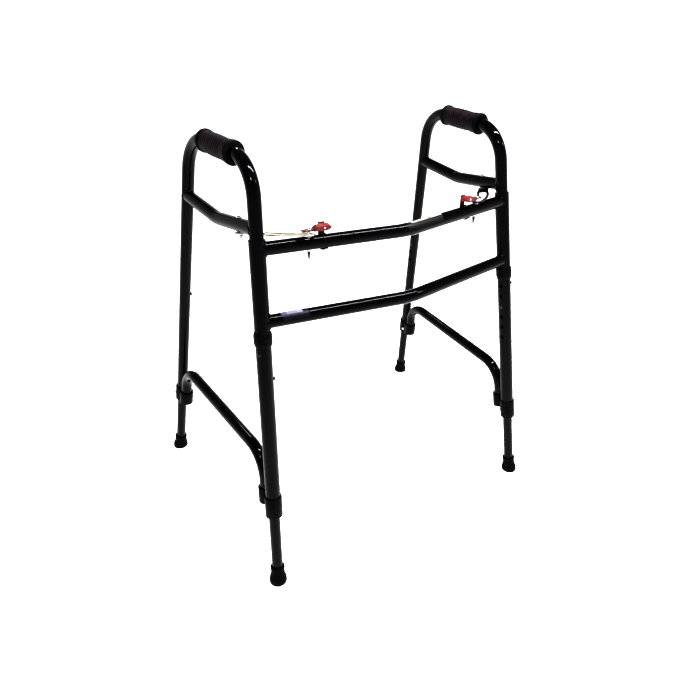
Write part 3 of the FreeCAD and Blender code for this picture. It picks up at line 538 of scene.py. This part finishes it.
class WALKER_OT_strut_bolts(bpy.types.Operator):
    """Dome-headed strut bolts and their lock nuts"""
    bl_idname = "walker.strut_bolts"
    bl_label = "Strut bolts"

    def execute(self, context):
        zinc = zinc_plate(context.scene.walker_fitting.zinc)
        top = 12.9
        bolt = turned("bolt_pattern", [
            (2.2, -23.4), (3.0, -22.6), (3.0, top), (5.3, top), (5.5, top + 0.3), (5.5, top + 1.1),
            (5.2, top + 2.0), (4.5, top + 3.0), (3.4, top + 3.7), (1.9, top + 4.1),
            (0.6, top + 4.2)], sides=36)
        smooth(bolt, 32)
        nut = self.nut(-16.2)
        for side in SIDES:
            body = f"{side}_side_frame"
            hand_over(twin(bolt, f"{side}_dome_bolt", strut_place(side)), body,
                      [f"{side}_strut_bolt"], "zinc_steel", zinc)
            hand_over(twin(nut, f"{side}_lock_nut", strut_place(side)), body, [f"{side}_strut_nut"],
                      "zinc_steel", zinc)
        drop(bolt, nut)
        return {"FINISHED"}

    def nut(self, top):
        """Hexagon with chamfered corners and a round insert collar below, bored for the bolt."""
        nut = turned("nut_pattern", [(5.2, top), (5.77, top - 0.5), (5.77, top - 3.2)], sides=6)
        bpy.ops.object.mode_set(mode="EDIT")
        choose(nut, lambda middle, normal: middle.z < (top - 3.1) * MM and abs(normal.z) > 0.9)
        bpy.ops.mesh.inset(thickness=0.5 * MM, depth=0.3 * MM)
        bpy.ops.mesh.extrude_region_move(TRANSFORM_OT_translate={"value": (0, 0, -1.2 * MM)})
        bpy.ops.object.mode_set(mode="OBJECT")
        bore = turned("nut_bore", [(3.05, top - 8), (3.05, top + 3)], sides=24)
        cut_away(nut, bore)
        round_edges(nut, 0.25 * MM, 2, 40)
        smooth(nut, 30)
        return nut


class WALKER_OT_latch_pins(bpy.types.Operator):
    """Latch pins, their flanged bushes and the pivot pins of the levers"""
    bl_idname = "walker.latch_pins"
    bl_label = "Latch pins"

    def execute(self, context):
        sizes = context.scene.walker_fitting
        zinc, painted_shade_steel = zinc_plate(sizes.zinc), blackened_steel()
        pin = turned("pin_pattern", [
            (0.7, -31), (1.1, -30.6), (1.7, -28), (2.6, -23), (2.95, -21), (3.0, -20), (3.0, -16),
            (2.6, -15.6), (2.6, -15.0), (3.0, -14.6), (3.0, 25.1), (4.9, 25.1), (5.2, 25.4),
            (5.2, 26.3), (4.8, 26.9), (3.6, 27.4), (1.0, 27.4)], sides=32)
        smooth(pin, 34)
        pin.data.materials.append(zinc)
        pin.data.materials.append(painted_shade_steel)
        # the tip below the bar is black oxide steel, as painted shade where it hangs under the bar;
        # the head and shank above stay zinc
        for face in pin.data.polygons:
            face.material_index = 1 if face.center.z < -14 * MM else 0
        bush = turned("bush_pattern", [
            (3.05, -14), (4.3, -14), (4.5, -13.7), (4.5, 12.75), (6.3, 12.75), (6.5, 12.95),
            (6.5, 13.35), (6.2, 13.55), (3.4, 13.55), (3.05, 13.25), (3.05, -14)],
            sides=36, ring=True)
        smooth(bush, 34)
        for side in SIDES:
            hand_over(twin(pin, f"{side}_turned_pin", latch_place(side)), f"{side}_pin",
                      [f"{side}_latch_pin"], "zinc_steel")
            hand_over(twin(bush, f"{side}_flanged_bush", latch_place(side)), "cross_frame",
                      [f"{side}_latch_bushing"], "zinc_steel", zinc)
        drop(pin, bush)
        self.pivots(zinc)
        return {"FINISHED"}

    def pivots(self, zinc):
        pattern = turned("pivot_pattern", [
            (3.1, -1.4), (3.4, -1.1), (3.4, -0.1), (3.2, 0), (2.0, 0), (2.0, 21.6), (1.6, 22.2),
            (0.8, 22.4)], sides=28)
        smooth(pattern, 34)
        pins = []
        for side in SIDES:
            back = lever_back(side)
            turn = Matrix.Rotation(math.radians(90 * back), 4, "X")
            start = Matrix.Translation(Vector((PIVOT_ALONG, back * 13.7, PIVOT_UP)) * MM)
            pins.append(twin(pattern, f"pivot_{side}", latch_place(side) @ start @ turn))
        hand_over(joined(pins, "lever_pivot_pins"), "cross_frame", ["latch_pivot_pins"],
                  "zinc_steel", zinc)
        drop(pattern)


class WALKER_OT_snap_buttons(bpy.types.Operator):
    """Domed snap buttons that stand out of the legs"""
    bl_idname = "walker.snap_buttons"
    bl_label = "Snap buttons"

    def execute(self, context):
        steel = blackened_steel()
        for leg, skin in (("front", SLEEVE), ("rear", TUBE)):
            top = skin + 3.2
            pattern = turned("button_pattern", [
                (3.4, 8), (3.8, 8.4), (3.8, top - 2.3), (3.65, top - 1.5), (3.2, top - 0.8),
                (2.4, top - 0.3), (1.4, top - 0.05), (0.5, top)], sides=32)
            smooth(pattern, 40)
            for side in SIDES:
                hand_over(twin(pattern, f"{side}_{leg}_dome_button", button_place(side, leg)),
                          f"{side}_{leg}_button", [f"{side}_{leg}_snap_button"], "zinc_steel",
                          steel)
            drop(pattern)
        return {"FINISHED"}


# ---------------------------------------------------------------- struts, levers and brackets

class WALKER_OT_struts(bpy.types.Operator):
    """Stamped locking struts with rolled-over edges"""
    bl_idname = "walker.struts"
    bl_label = "Locking struts"

    def execute(self, context):
        sizes = context.scene.walker_fitting
        # the right one is bright, and the left one is the same plating darkened near to black:
        # painted shade
        plates = {"right": strut_plate("stamped_zinc_strip", sizes.strut, "#A99D8C"),
                  "left": strut_plate("shaded_zinc_strip", "#3A3431", "#1A1716")}
        for side in SIDES:
            node = f"{side}_locking_strut"
            piece = copied_node(node, f"{side}_stamped_strut")
            round_edges(piece, sizes.strut_edge, 2, 50)
            smooth(piece, 35)
            hand_over(piece, f"{side}_strut", [node], "strut_steel", plates[side])
        return {"FINISHED"}


class WALKER_OT_levers(bpy.types.Operator):
    """Release levers dipped in a thick red coating, and brackets that are red above the bar"""
    bl_idname = "walker.levers"
    bl_label = "Release levers"

    def execute(self, context):
        sizes = context.scene.walker_fitting
        coating = dipped_coating("red_dipped_vinyl", sizes.lever, "#5C1418")
        # darker red coating: painted shade on the levers' forks; the brackets wear it above the bar
        # as well
        shaded_red = dipped_coating("shaded_red_dipped_vinyl", "#4A1114", "#260A0C")
        paint = powder_coat(sizes.paint)
        for side in SIDES:
            latch = latch_place(side)
            lever = self.dipped(f"{side}_release_lever", f"{side}_dipped_lever", sizes.dip_voxel, 8)
            # the thumb tab is bright, and the fork gets a darker red, which is painted shade where
            # it lies in shadow
            self.slim_tab(lever, latch)
            self.two_tone(lever, coating, shaded_red, lambda spot: (latch.inverted() @ spot).x < 13 * MM)
            hand_over(lever, f"{side}_lever", [f"{side}_release_lever"], "red_coating")
            bracket = copied_node(f"{side}_latch_bracket", f"{side}_pressed_bracket")
            round_edges(bracket, 0.4 * MM, 2, 50)
            smooth(bracket, 35)
            bar_top = latch.translation.z + TUBE * MM
            self.two_tone(bracket, shaded_red, paint, lambda spot: spot.z < bar_top)
            hand_over(bracket, "cross_frame", [f"{side}_latch_bracket"], "red_coating")
        return {"FINISHED"}

    def slim_tab(self, lever, latch):
        """Draw the thumb tab in towards its pivot, and leave the fork as it is."""
        back = latch.inverted()
        pivot = Vector((PIVOT_ALONG, 0, 25)) * MM
        for vertex in lever.data.vertices:
            spot = back @ vertex.co
            share = min(max((spot.x - 12 * MM) / (6 * MM), 0.0), 1.0)
            slim = Vector((spot.x - pivot.x, 0, spot.z - pivot.z)) * -0.2 * share
            vertex.co = latch @ (spot + slim)

    def two_tone(self, piece, main, other, test):
        """Main finish, with the other one on the faces whose middle passes a test."""
        piece.data.materials.append(main)
        piece.data.materials.append(other)
        for face in piece.data.polygons:
            face.material_index = 1 if test(face.center) else 0

    def dipped(self, node, name, voxel, passes):
        """Copy of a CAD node remeshed and softened, as a thick dip rounds every edge."""
        piece = copied_node(node, name)
        pick(piece)
        remesh = piece.modifiers.new("dip", "REMESH")
        remesh.mode = "VOXEL"
        remesh.voxel_size = voxel
        bpy.ops.object.modifier_apply(modifier=remesh.name)
        soften = piece.modifiers.new("soften", "SMOOTH")
        soften.factor = 0.5
        soften.iterations = passes
        bpy.ops.object.modifier_apply(modifier=soften.name)
        smooth(piece, 60)
        return piece


# ---------------------------------------------------------------- welds

def weld_bead(name, end, along, tube, post_axis, post, bead):
    """Rippled bead where a tube meets a round post: both radii in mm, end is on both axes."""
    clear_selection()
    bpy.ops.mesh.primitive_torus_add(major_segments=120, minor_segments=10, major_radius=tube * MM,
                                     minor_radius=bead)
    piece = bpy.context.object
    piece.name = name
    place = basis(end, along, post_axis)
    across, upward, ahead = (place.col[index].to_3d() for index in range(3))

    def flat(direction):
        return direction - post_axis * direction.dot(post_axis)

    run = flat(ahead)
    for vertex in piece.data.vertices:
        angle = math.atan2(vertex.co.y, vertex.co.x)
        out = math.hypot(vertex.co.x, vertex.co.y) - tube * MM
        ripple = 1.0 + 0.16 * math.sin(30 * angle)
        round_tube = across * math.cos(angle) + upward * math.sin(angle)
        offset = flat(round_tube * tube * MM)
        a, b, c = run.dot(run), 2 * run.dot(offset), offset.dot(offset) - (post * MM) ** 2
        reach = (-b + math.sqrt(max(b * b - 4 * a * c, 0.0))) / (2 * a)
        vertex.co = (end + ahead * (reach + vertex.co.z * ripple)
                     + round_tube * (tube * MM + out * ripple))
    pick(piece)
    bpy.ops.object.mode_set(mode="EDIT")
    bpy.ops.mesh.select_all(action="SELECT")
    bpy.ops.mesh.normals_make_consistent(inside=False)
    bpy.ops.object.mode_set(mode="OBJECT")
    smooth(piece, 60)
    return piece


class WALKER_OT_welds(bpy.types.Operator):
    """Weld beads of the crossbars on the hinge sleeves and of the upper braces on the legs"""
    bl_idname = "walker.welds"
    bl_label = "Welds"

    def execute(self, context):
        sizes = context.scene.walker_fitting
        paint = powder_coat(sizes.paint)
        for side in SIDES:
            foot = joint_point(f"{side}_side_fold")
            up = -joint_axis(f"{side}_front_leg_height")
            for bar, height in BAR_HEIGHTS.items():
                end = foot + up * (height * MM / up.z)
                middle = Vector((0, end.y - BAR_BOW * MM, end.z))
                bead = weld_bead(f"{side}_{bar}_bar_weld", end, middle - end, TUBE, up, SLEEVE,
                                 sizes.bead)
                hand_over(bead, "cross_frame", [], "black_paint", paint)
            dip = on_side(side, *BRACE_DIP)
            for leg, height in BRACE_ENDS.items():
                lean = height * math.tan(math.radians(LEG_LEANS[leg]))
                end = on_side(side, lean if leg == "front" else FOOT_SPREAD - lean, height)
                axis = -joint_axis(f"{side}_{leg}_leg_height")
                bead = weld_bead(f"{side}_{leg}_brace_weld", end, dip - end, TUBE, axis,
                                 SIDE_TUBE, sizes.bead)
                hand_over(bead, f"{side}_side_frame", [], "black_paint", paint)
        return {"FINISHED"}


# ---------------------------------------------------------------- stage

class WALKER_OT_stage(bpy.types.Operator):
    """Pale floor, soft studio lights and the camera"""
    bl_idname = "walker.stage"
    bl_label = "Stage"

    def execute(self, context):
        settings = context.scene.walker_stage
        bpy.ops.mesh.primitive_plane_add(size=60, location=(0, 0, 0))
        floor = context.object
        floor.name = "studio_floor"
        floor.data.materials.append(studio_paper(settings.floor_colour))
        self.light(context)
        self.camera(context, settings)
        return {"FINISHED"}

    def light(self, context):
        world = bpy.data.worlds.new("studio_air")
        world.use_nodes = True
        # bright round the horizon, where the paper sweeps up, and dimmer overhead
        tree = world.node_tree
        direction = add_node(tree, "ShaderNodeTexCoord").outputs["Generated"]
        height = add_node(tree, "ShaderNodeSeparateXYZ", Vector=direction).outputs["Z"]
        tree.links.new(grade(tree, height, "#FFFFFF", "#808080", 0.05, 0.6),
                       tree.nodes["Background"].inputs["Color"])
        context.scene.world = world
        lamps = (
            ("key_softbox", (-0.9, -1.5, 2.5), 0.2, 22.0),
            ("fill_softbox", (2.2, -1.6, 2.4), 0.3, 14.0),
            ("rim_softbox", (0.6, 2.6, 2.8), 0.4, 16.0),
        )
        for name, spot, size, power in lamps:
            bpy.ops.object.light_add(type="AREA", location=spot)
            lamp = context.object
            lamp.name = name
            lamp.data.shape = "DISK"
            lamp.data.size = size
            lamp.data.energy = power
            aim = Vector((0.0, 0.0, 0.5)) - lamp.location
            lamp.rotation_euler = aim.to_track_quat("-Z", "Y").to_euler()
        bpy.ops.object.light_add(type="AREA", location=(0.6, -0.42, 2.2))
        strip = context.object
        strip.name = "strip_softbox"
        strip.data.shape = "RECTANGLE"
        strip.data.size, strip.data.size_y = 1.5, 0.06
        strip.data.energy = 80.0
        context.scene.view_settings.view_transform = "Standard"
        context.scene.view_settings.look = "High Contrast"

    def camera(self, context, settings):
        turn, tilt, roll = settings.camera_turn, settings.camera_tilt, settings.camera_roll
        ahead = Vector((-math.sin(turn) * math.cos(tilt), math.cos(turn) * math.cos(tilt),
                        -math.sin(tilt)))
        right = Vector((math.cos(turn), math.sin(turn), 0.0))
        up = right.cross(ahead)
        across = right * math.cos(roll) + up * math.sin(roll)
        upright = up * math.cos(roll) - right * math.sin(roll)
        bpy.ops.object.camera_add(location=settings.camera_spot)
        camera = context.object
        camera.name = "viewpoint"
        camera.rotation_euler = Matrix((across, upright, -ahead)).transposed().to_euler()
        camera.data.sensor_width = 36.0
        camera.data.lens = settings.lens
        camera.data.shift_x, camera.data.shift_y = settings.shift
        camera.data.clip_start = 0.05
        context.scene.camera = camera


def studio_paper(tint):
    """Matt seamless paper, so bright that the floor and the air behind it look alike."""
    material = bpy.data.materials.new("seamless_paper")
    material.use_nodes = True
    shader = material.node_tree.nodes["Principled BSDF"]
    shader.inputs["Base Color"].default_value = hex_colour(tint)
    shader.inputs["Roughness"].default_value = 0.9
    shader.inputs["Specular IOR Level"].default_value = 0.1
    shader.inputs["Emission Color"].default_value = (1.0, 1.0, 1.0, 1.0)
    shader.inputs["Emission Strength"].default_value = 0.85
    return material


# ---------------------------------------------------------------- materials

def add_node(tree, kind, settings=None, **links):
    """A node with its settings, and each named input set to a value or linked to a socket."""
    node = tree.nodes.new(kind)
    for name, value in (settings or {}).items():
        setattr(node, name, value)
    for name, value in links.items():
        key = int(name[1:]) if name[1:].isdigit() else name.replace("_", " ")
        if isinstance(value, bpy.types.NodeSocket):
            tree.links.new(value, node.inputs[key])
        else:
            node.inputs[key].default_value = value
    return node


def new_material(name, tint, roughness, metallic=0.0, specular=0.5):
    """Named material with its main values, and the Object coordinates for its patterns."""
    material = bpy.data.materials.new(name)
    material.use_nodes = True
    shader = material.node_tree.nodes["Principled BSDF"]
    shader.inputs["Base Color"].default_value = hex_colour(tint)
    shader.inputs["Roughness"].default_value = roughness
    shader.inputs["Metallic"].default_value = metallic
    shader.inputs["Specular IOR Level"].default_value = specular
    tree = material.node_tree
    return material, tree, shader, add_node(tree, "ShaderNodeTexCoord").outputs["Object"]


def grade(tree, factor, low, high, first=0.35, last=0.65):
    """Ramp from one hex colour to another over part of a pattern's range."""
    ramp = add_node(tree, "ShaderNodeValToRGB", Fac=factor)
    ramp.color_ramp.elements[0].position = first
    ramp.color_ramp.elements[0].color = hex_colour(low)
    ramp.color_ramp.elements[1].position = last
    ramp.color_ramp.elements[1].color = hex_colour(high)
    return ramp.outputs["Color"]


def powder_coat(tint):
    """Glossy black powder coat, sprayed and baked: orange peel breaks up its sharp highlights."""
    if "gloss_black_powder_coat" in bpy.data.materials:
        return bpy.data.materials["gloss_black_powder_coat"]
    material, tree, shader, place = new_material("gloss_black_powder_coat", tint, 0.08,
                                                 specular=0.075)
    # handling haze, in clouds a hand's breadth wide, dulls the gloss here and there
    haze = add_node(tree, "ShaderNodeTexNoise", Vector=place, Scale=1 / (55 * MM), Detail=4.0)
    dull = add_node(tree, "ShaderNodeMapRange", Value=haze.outputs["Fac"], From_Min=0.35,
                    From_Max=0.7, To_Min=0.05, To_Max=0.11)
    tree.links.new(dull.outputs["Result"], shader.inputs["Roughness"])
    # the peel of the melted powder, about 2 mm from crest to crest
    peel = add_node(tree, "ShaderNodeTexNoise", Vector=place, Scale=1 / (2.2 * MM), Detail=2.0)
    bump = add_node(tree, "ShaderNodeBump", Height=peel.outputs["Fac"], Strength=0.08,
                    Distance=0.1 * MM)
    tree.links.new(bump.outputs["Normal"], shader.inputs["Normal"])
    return material


def grip_vinyl(name, tint):
    """Soft PVC moulded in a grained tool: pebbles about 1.5 mm wide scatter the light."""
    material, tree, shader, place = new_material(name, tint, 0.55, specular=0.05)
    wear = add_node(tree, "ShaderNodeTexNoise", Vector=place, Scale=1 / (14 * MM), Detail=5.0)
    darker = "#%02X%02X%02X" % tuple(int(int(tint[i:i + 2], 16) * 0.62) for i in (1, 3, 5))
    tree.links.new(grade(tree, wear.outputs["Fac"], darker, tint), shader.inputs["Base Color"])
    pebble = add_node(tree, "ShaderNodeTexVoronoi", Vector=place, Scale=1 / (1.5 * MM))
    bump = add_node(tree, "ShaderNodeBump", Height=pebble.outputs["Distance"], Strength=0.45,
                    Distance=0.25 * MM)
    tree.links.new(bump.outputs["Normal"], shader.inputs["Normal"])
    shine = add_node(tree, "ShaderNodeMapRange", Value=wear.outputs["Fac"], From_Min=0.3,
                     From_Max=0.7, To_Min=0.42, To_Max=0.62)
    tree.links.new(shine.outputs["Result"], shader.inputs["Roughness"])
    return material


def moulded_nylon(tint):
    """Glass-filled nylon from a spark-eroded mould: satin, with a fine even grain."""
    material, tree, shader, place = new_material("moulded_black_nylon", tint, 0.4, specular=0.03)
    grain = add_node(tree, "ShaderNodeTexNoise", Vector=place, Scale=1 / (0.9 * MM), Detail=3.0)
    bump = add_node(tree, "ShaderNodeBump", Height=grain.outputs["Fac"], Strength=0.2,
                    Distance=0.12 * MM)
    tree.links.new(bump.outputs["Normal"], shader.inputs["Normal"])
    flow = add_node(tree, "ShaderNodeTexNoise", Vector=place, Scale=1 / (20 * MM), Detail=3.0,
                    Distortion=0.8)
    tree.links.new(grade(tree, flow.outputs["Fac"], tint, "#0F0E10"), shader.inputs["Base Color"])
    return material


def tip_rubber(tint):
    """Moulded rubber: dull, with a greyer bloom and dust towards the floor."""
    material, tree, shader, place = new_material("moulded_black_rubber", tint, 0.68, specular=0.03)
    height = add_node(tree, "ShaderNodeSeparateXYZ", Vector=place).outputs["Z"]
    near_floor = add_node(tree, "ShaderNodeMapRange", Value=height, From_Min=0.0, From_Max=14 * MM,
                          To_Min=0.8, To_Max=0.25)
    specks = add_node(tree, "ShaderNodeTexNoise", Vector=place, Scale=1 / (3 * MM), Detail=6.0)
    dust = add_node(tree, "ShaderNodeMath", {"operation": "MULTIPLY"},
                    i0=near_floor.outputs["Result"], i1=specks.outputs["Fac"])
    tree.links.new(grade(tree, dust.outputs["Value"], tint, "#1A1918", 0.1, 0.75),
                   shader.inputs["Base Color"])
    bump = add_node(tree, "ShaderNodeBump", Height=specks.outputs["Fac"], Strength=0.25,
                    Distance=0.2 * MM)
    tree.links.new(bump.outputs["Normal"], shader.inputs["Normal"])
    return material


def zinc_plate(tint):
    """Bright zinc plating on steel: a cloudy passivated shine with fine tool marks."""
    if "bright_zinc_plating" in bpy.data.materials:
        return bpy.data.materials["bright_zinc_plating"]
    material, tree, shader, place = new_material("bright_zinc_plating", tint, 0.25, metallic=1.0)
    cloud = add_node(tree, "ShaderNodeTexNoise", Vector=place, Scale=1 / (3.5 * MM), Detail=5.0)
    tree.links.new(grade(tree, cloud.outputs["Fac"], "#9FA0A4", tint), shader.inputs["Base Color"])
    dull = add_node(tree, "ShaderNodeMapRange", Value=cloud.outputs["Fac"], From_Min=0.3,
                    From_Max=0.7, To_Min=0.18, To_Max=0.38)
    tree.links.new(dull.outputs["Result"], shader.inputs["Roughness"])
    return material


def blackened_steel():
    """Black-oxidised steel: dark and oily, worn a little brighter in specks."""
    if "black_oxide_steel" in bpy.data.materials:
        return bpy.data.materials["black_oxide_steel"]
    material, tree, shader, place = new_material("black_oxide_steel", "#3A393B", 0.35, metallic=1.0)
    wear = add_node(tree, "ShaderNodeTexNoise", Vector=place, Scale=1 / (2 * MM), Detail=6.0)
    tree.links.new(grade(tree, wear.outputs["Fac"], "#1C1B1D", "#5A5858", 0.45, 0.8),
                   shader.inputs["Base Color"])
    return material


def strut_plate(name, tint, cloudy):
    """Stamped and zinc plated steel strip: cloudy plating over rolling lines along it."""
    material, tree, shader, place = new_material(name, tint, 0.32, metallic=1.0)
    lines = add_node(tree, "ShaderNodeMapping", {"vector_type": "POINT"}, Vector=place,
                     Scale=(0.12, 1.0, 1.0))
    rolling = add_node(tree, "ShaderNodeTexNoise", Vector=lines.outputs["Vector"],
                       Scale=1 / (0.8 * MM), Detail=4.0)
    cloud = add_node(tree, "ShaderNodeTexNoise", Vector=place, Scale=1 / (9 * MM), Detail=4.0)
    tree.links.new(grade(tree, cloud.outputs["Fac"], cloudy, tint, 0.3, 0.6),
                   shader.inputs["Base Color"])
    dull = add_node(tree, "ShaderNodeMapRange", Value=rolling.outputs["Fac"], From_Min=0.3,
                    From_Max=0.7, To_Min=0.24, To_Max=0.44)
    tree.links.new(dull.outputs["Result"], shader.inputs["Roughness"])
    bump = add_node(tree, "ShaderNodeBump", Height=rolling.outputs["Fac"], Strength=0.12,
                    Distance=0.05 * MM)
    tree.links.new(bump.outputs["Normal"], shader.inputs["Normal"])
    return material


def dipped_coating(name, tint, stained):
    """Red PVC dip: thick and rubbery, with a slow sag in its surface and a darker worn film."""
    material, tree, shader, place = new_material(name, tint, 0.38, specular=0.25)
    sag = add_node(tree, "ShaderNodeTexNoise", Vector=place, Scale=1 / (6 * MM), Detail=2.0)
    stain = add_node(tree, "ShaderNodeTexNoise", Vector=place, Scale=1 / (4 * MM), Detail=6.0)
    tree.links.new(grade(tree, stain.outputs["Fac"], stained, tint, 0.3, 0.5),
                   shader.inputs["Base Color"])
    bump = add_node(tree, "ShaderNodeBump", Height=sag.outputs["Fac"], Strength=0.3,
                    Distance=0.5 * MM)
    tree.links.new(bump.outputs["Normal"], shader.inputs["Normal"])
    return material


def spring_wire():
    """Hard-drawn spring wire: grey and bright along the drawing direction."""
    material, tree, shader, place = new_material("hard_drawn_spring_wire", "#8E8F92", 0.28,
                                                 metallic=1.0)
    draw = add_node(tree, "ShaderNodeTexNoise", Vector=place, Scale=1 / (0.7 * MM), Detail=3.0)
    dull = add_node(tree, "ShaderNodeMapRange", Value=draw.outputs["Fac"], From_Min=0.3,
                    From_Max=0.7, To_Min=0.2, To_Max=0.4)
    tree.links.new(dull.outputs["Result"], shader.inputs["Roughness"])
    return material


def print_and_painted_highlight_film(name, edge, ground, along, stops):
    """Vinyl label film, blank: a dark ground, and above an edge pale bands along the bar, partly
    print and partly a painted highlight on the label's upper side.

    The edge is a height in metres, and each band is given as (place along X in mm, hex colour)."""
    material, tree, shader, place = new_material(name, stops[0][1], 0.4, specular=0.12)
    axes = add_node(tree, "ShaderNodeSeparateXYZ", Vector=place).outputs
    low, high = along
    share = add_node(tree, "ShaderNodeMapRange", Value=axes["X"], From_Min=low * MM,
                     From_Max=high * MM, To_Min=0.0, To_Max=1.0)
    ramp = add_node(tree, "ShaderNodeValToRGB", Fac=share.outputs["Result"])
    ramp.color_ramp.interpolation = "CONSTANT"
    for number, (spot, tint) in enumerate(stops):
        position = (spot - low) / (high - low)
        elements = ramp.color_ramp.elements
        element = elements[number] if number < 2 else elements.new(position)
        element.position = position
        element.color = hex_colour(tint)
    # above the edge: the pale bands, partly print and partly painted highlight; below it: the dark
    # ground
    above = add_node(tree, "ShaderNodeMath", {"operation": "GREATER_THAN"}, i0=axes["Z"], i1=edge)
    print_and_highlight_colour = add_node(tree, "ShaderNodeMix", {"data_type": "RGBA"}, i0=above.outputs["Value"],
                            i6=hex_colour(ground), i7=ramp.outputs["Color"])
    tree.links.new(print_and_highlight_colour.outputs[2], shader.inputs["Base Color"])
    wrinkle = add_node(tree, "ShaderNodeTexNoise", Vector=place, Scale=1 / (7 * MM), Detail=3.0)
    bump = add_node(tree, "ShaderNodeBump", Height=wrinkle.outputs["Fac"], Strength=0.2,
                    Distance=0.2 * MM)
    tree.links.new(bump.outputs["Normal"], shader.inputs["Normal"])
    return material


class WALKER_OT_finishes(bpy.types.Operator):
    """Paint, spring wire and label film on the pieces that keep their CAD shape"""
    bl_idname = "walker.finishes"
    bl_label = "Finishes"

    def execute(self, context):
        sizes = context.scene.walker_fitting
        paint, wire = powder_coat(sizes.paint), spring_wire()
        upper, lower = (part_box(f"{bar}_crossbar_label")[1].z for bar in ("upper", "lower"))
        # above each label's edge its pale bands are partly print and partly painted highlight on
        # the label's top
        cream = print_and_painted_highlight_film("cream_print_and_painted_highlight_film", upper - 0.55 * MM, "#08070C", UPPER_LABEL, (
            (-6, "#08070C"), (6, "#958A7F"), (50, "#6C635B"), (60, "#958A7F")))
        blue = print_and_painted_highlight_film("label_print_and_painted_highlight_film", lower - 1.3 * MM, "#0B0A18", LOWER_LABEL, (
            (-262, "#4A4862"), (-252, "#6E6A86"), (-232, "#7C7892"), (-222, "#08070C")))
        special = {"upper_crossbar_label": cream, "lower_crossbar_label": blue}
        for name, node in frame["nodes"].items():
            finish = special.get(name, wire if name.endswith(("spring", "clip")) else paint)
            node.data.materials.clear()
            node.data.materials.append(finish)
        return {"FINISHED"}


# ---------------------------------------------------------------- running order

PANEL_OPERATORS = (
    WALKER_OT_finishes, WALKER_OT_hand_grips, WALKER_OT_rubber_tips, WALKER_OT_collars,
    WALKER_OT_screws, WALKER_OT_strut_bolts, WALKER_OT_latch_pins, WALKER_OT_snap_buttons,
    WALKER_OT_struts, WALKER_OT_levers, WALKER_OT_welds, WALKER_OT_stage,
)


class WALKER_PT_sidebar(bpy.types.Panel):
    """Lists the steps that dress the walking frame"""
    bl_idname = "WALKER_PT_sidebar"
    bl_label = "Walking frame"
    bl_space_type = "VIEW_3D"
    bl_region_type = "UI"
    bl_category = "Walking frame"

    def draw(self, context):
        for operator in PANEL_OPERATORS:
            self.layout.operator(operator.bl_idname)


SETTINGS = {"walker_stage": StageSettings, "walker_grip": GripSettings,
            "walker_fitting": FittingSettings}
CLASSES = (*SETTINGS.values(), *PANEL_OPERATORS, WALKER_PT_sidebar)


def register():
    for item in CLASSES:
        bpy.utils.register_class(item)
    for name, group in SETTINGS.items():
        setattr(bpy.types.Scene, name, bpy.props.PointerProperty(type=group))


def unregister():
    for name in SETTINGS:
        delattr(bpy.types.Scene, name)
    for item in reversed(CLASSES):
        bpy.utils.unregister_class(item)


def main():
    register()
    for operator in PANEL_OPERATORS:
        group, name = operator.bl_idname.split(".")
        getattr(getattr(bpy.ops, group), name)()
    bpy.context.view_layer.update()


if __name__ == "__main__":
    main()
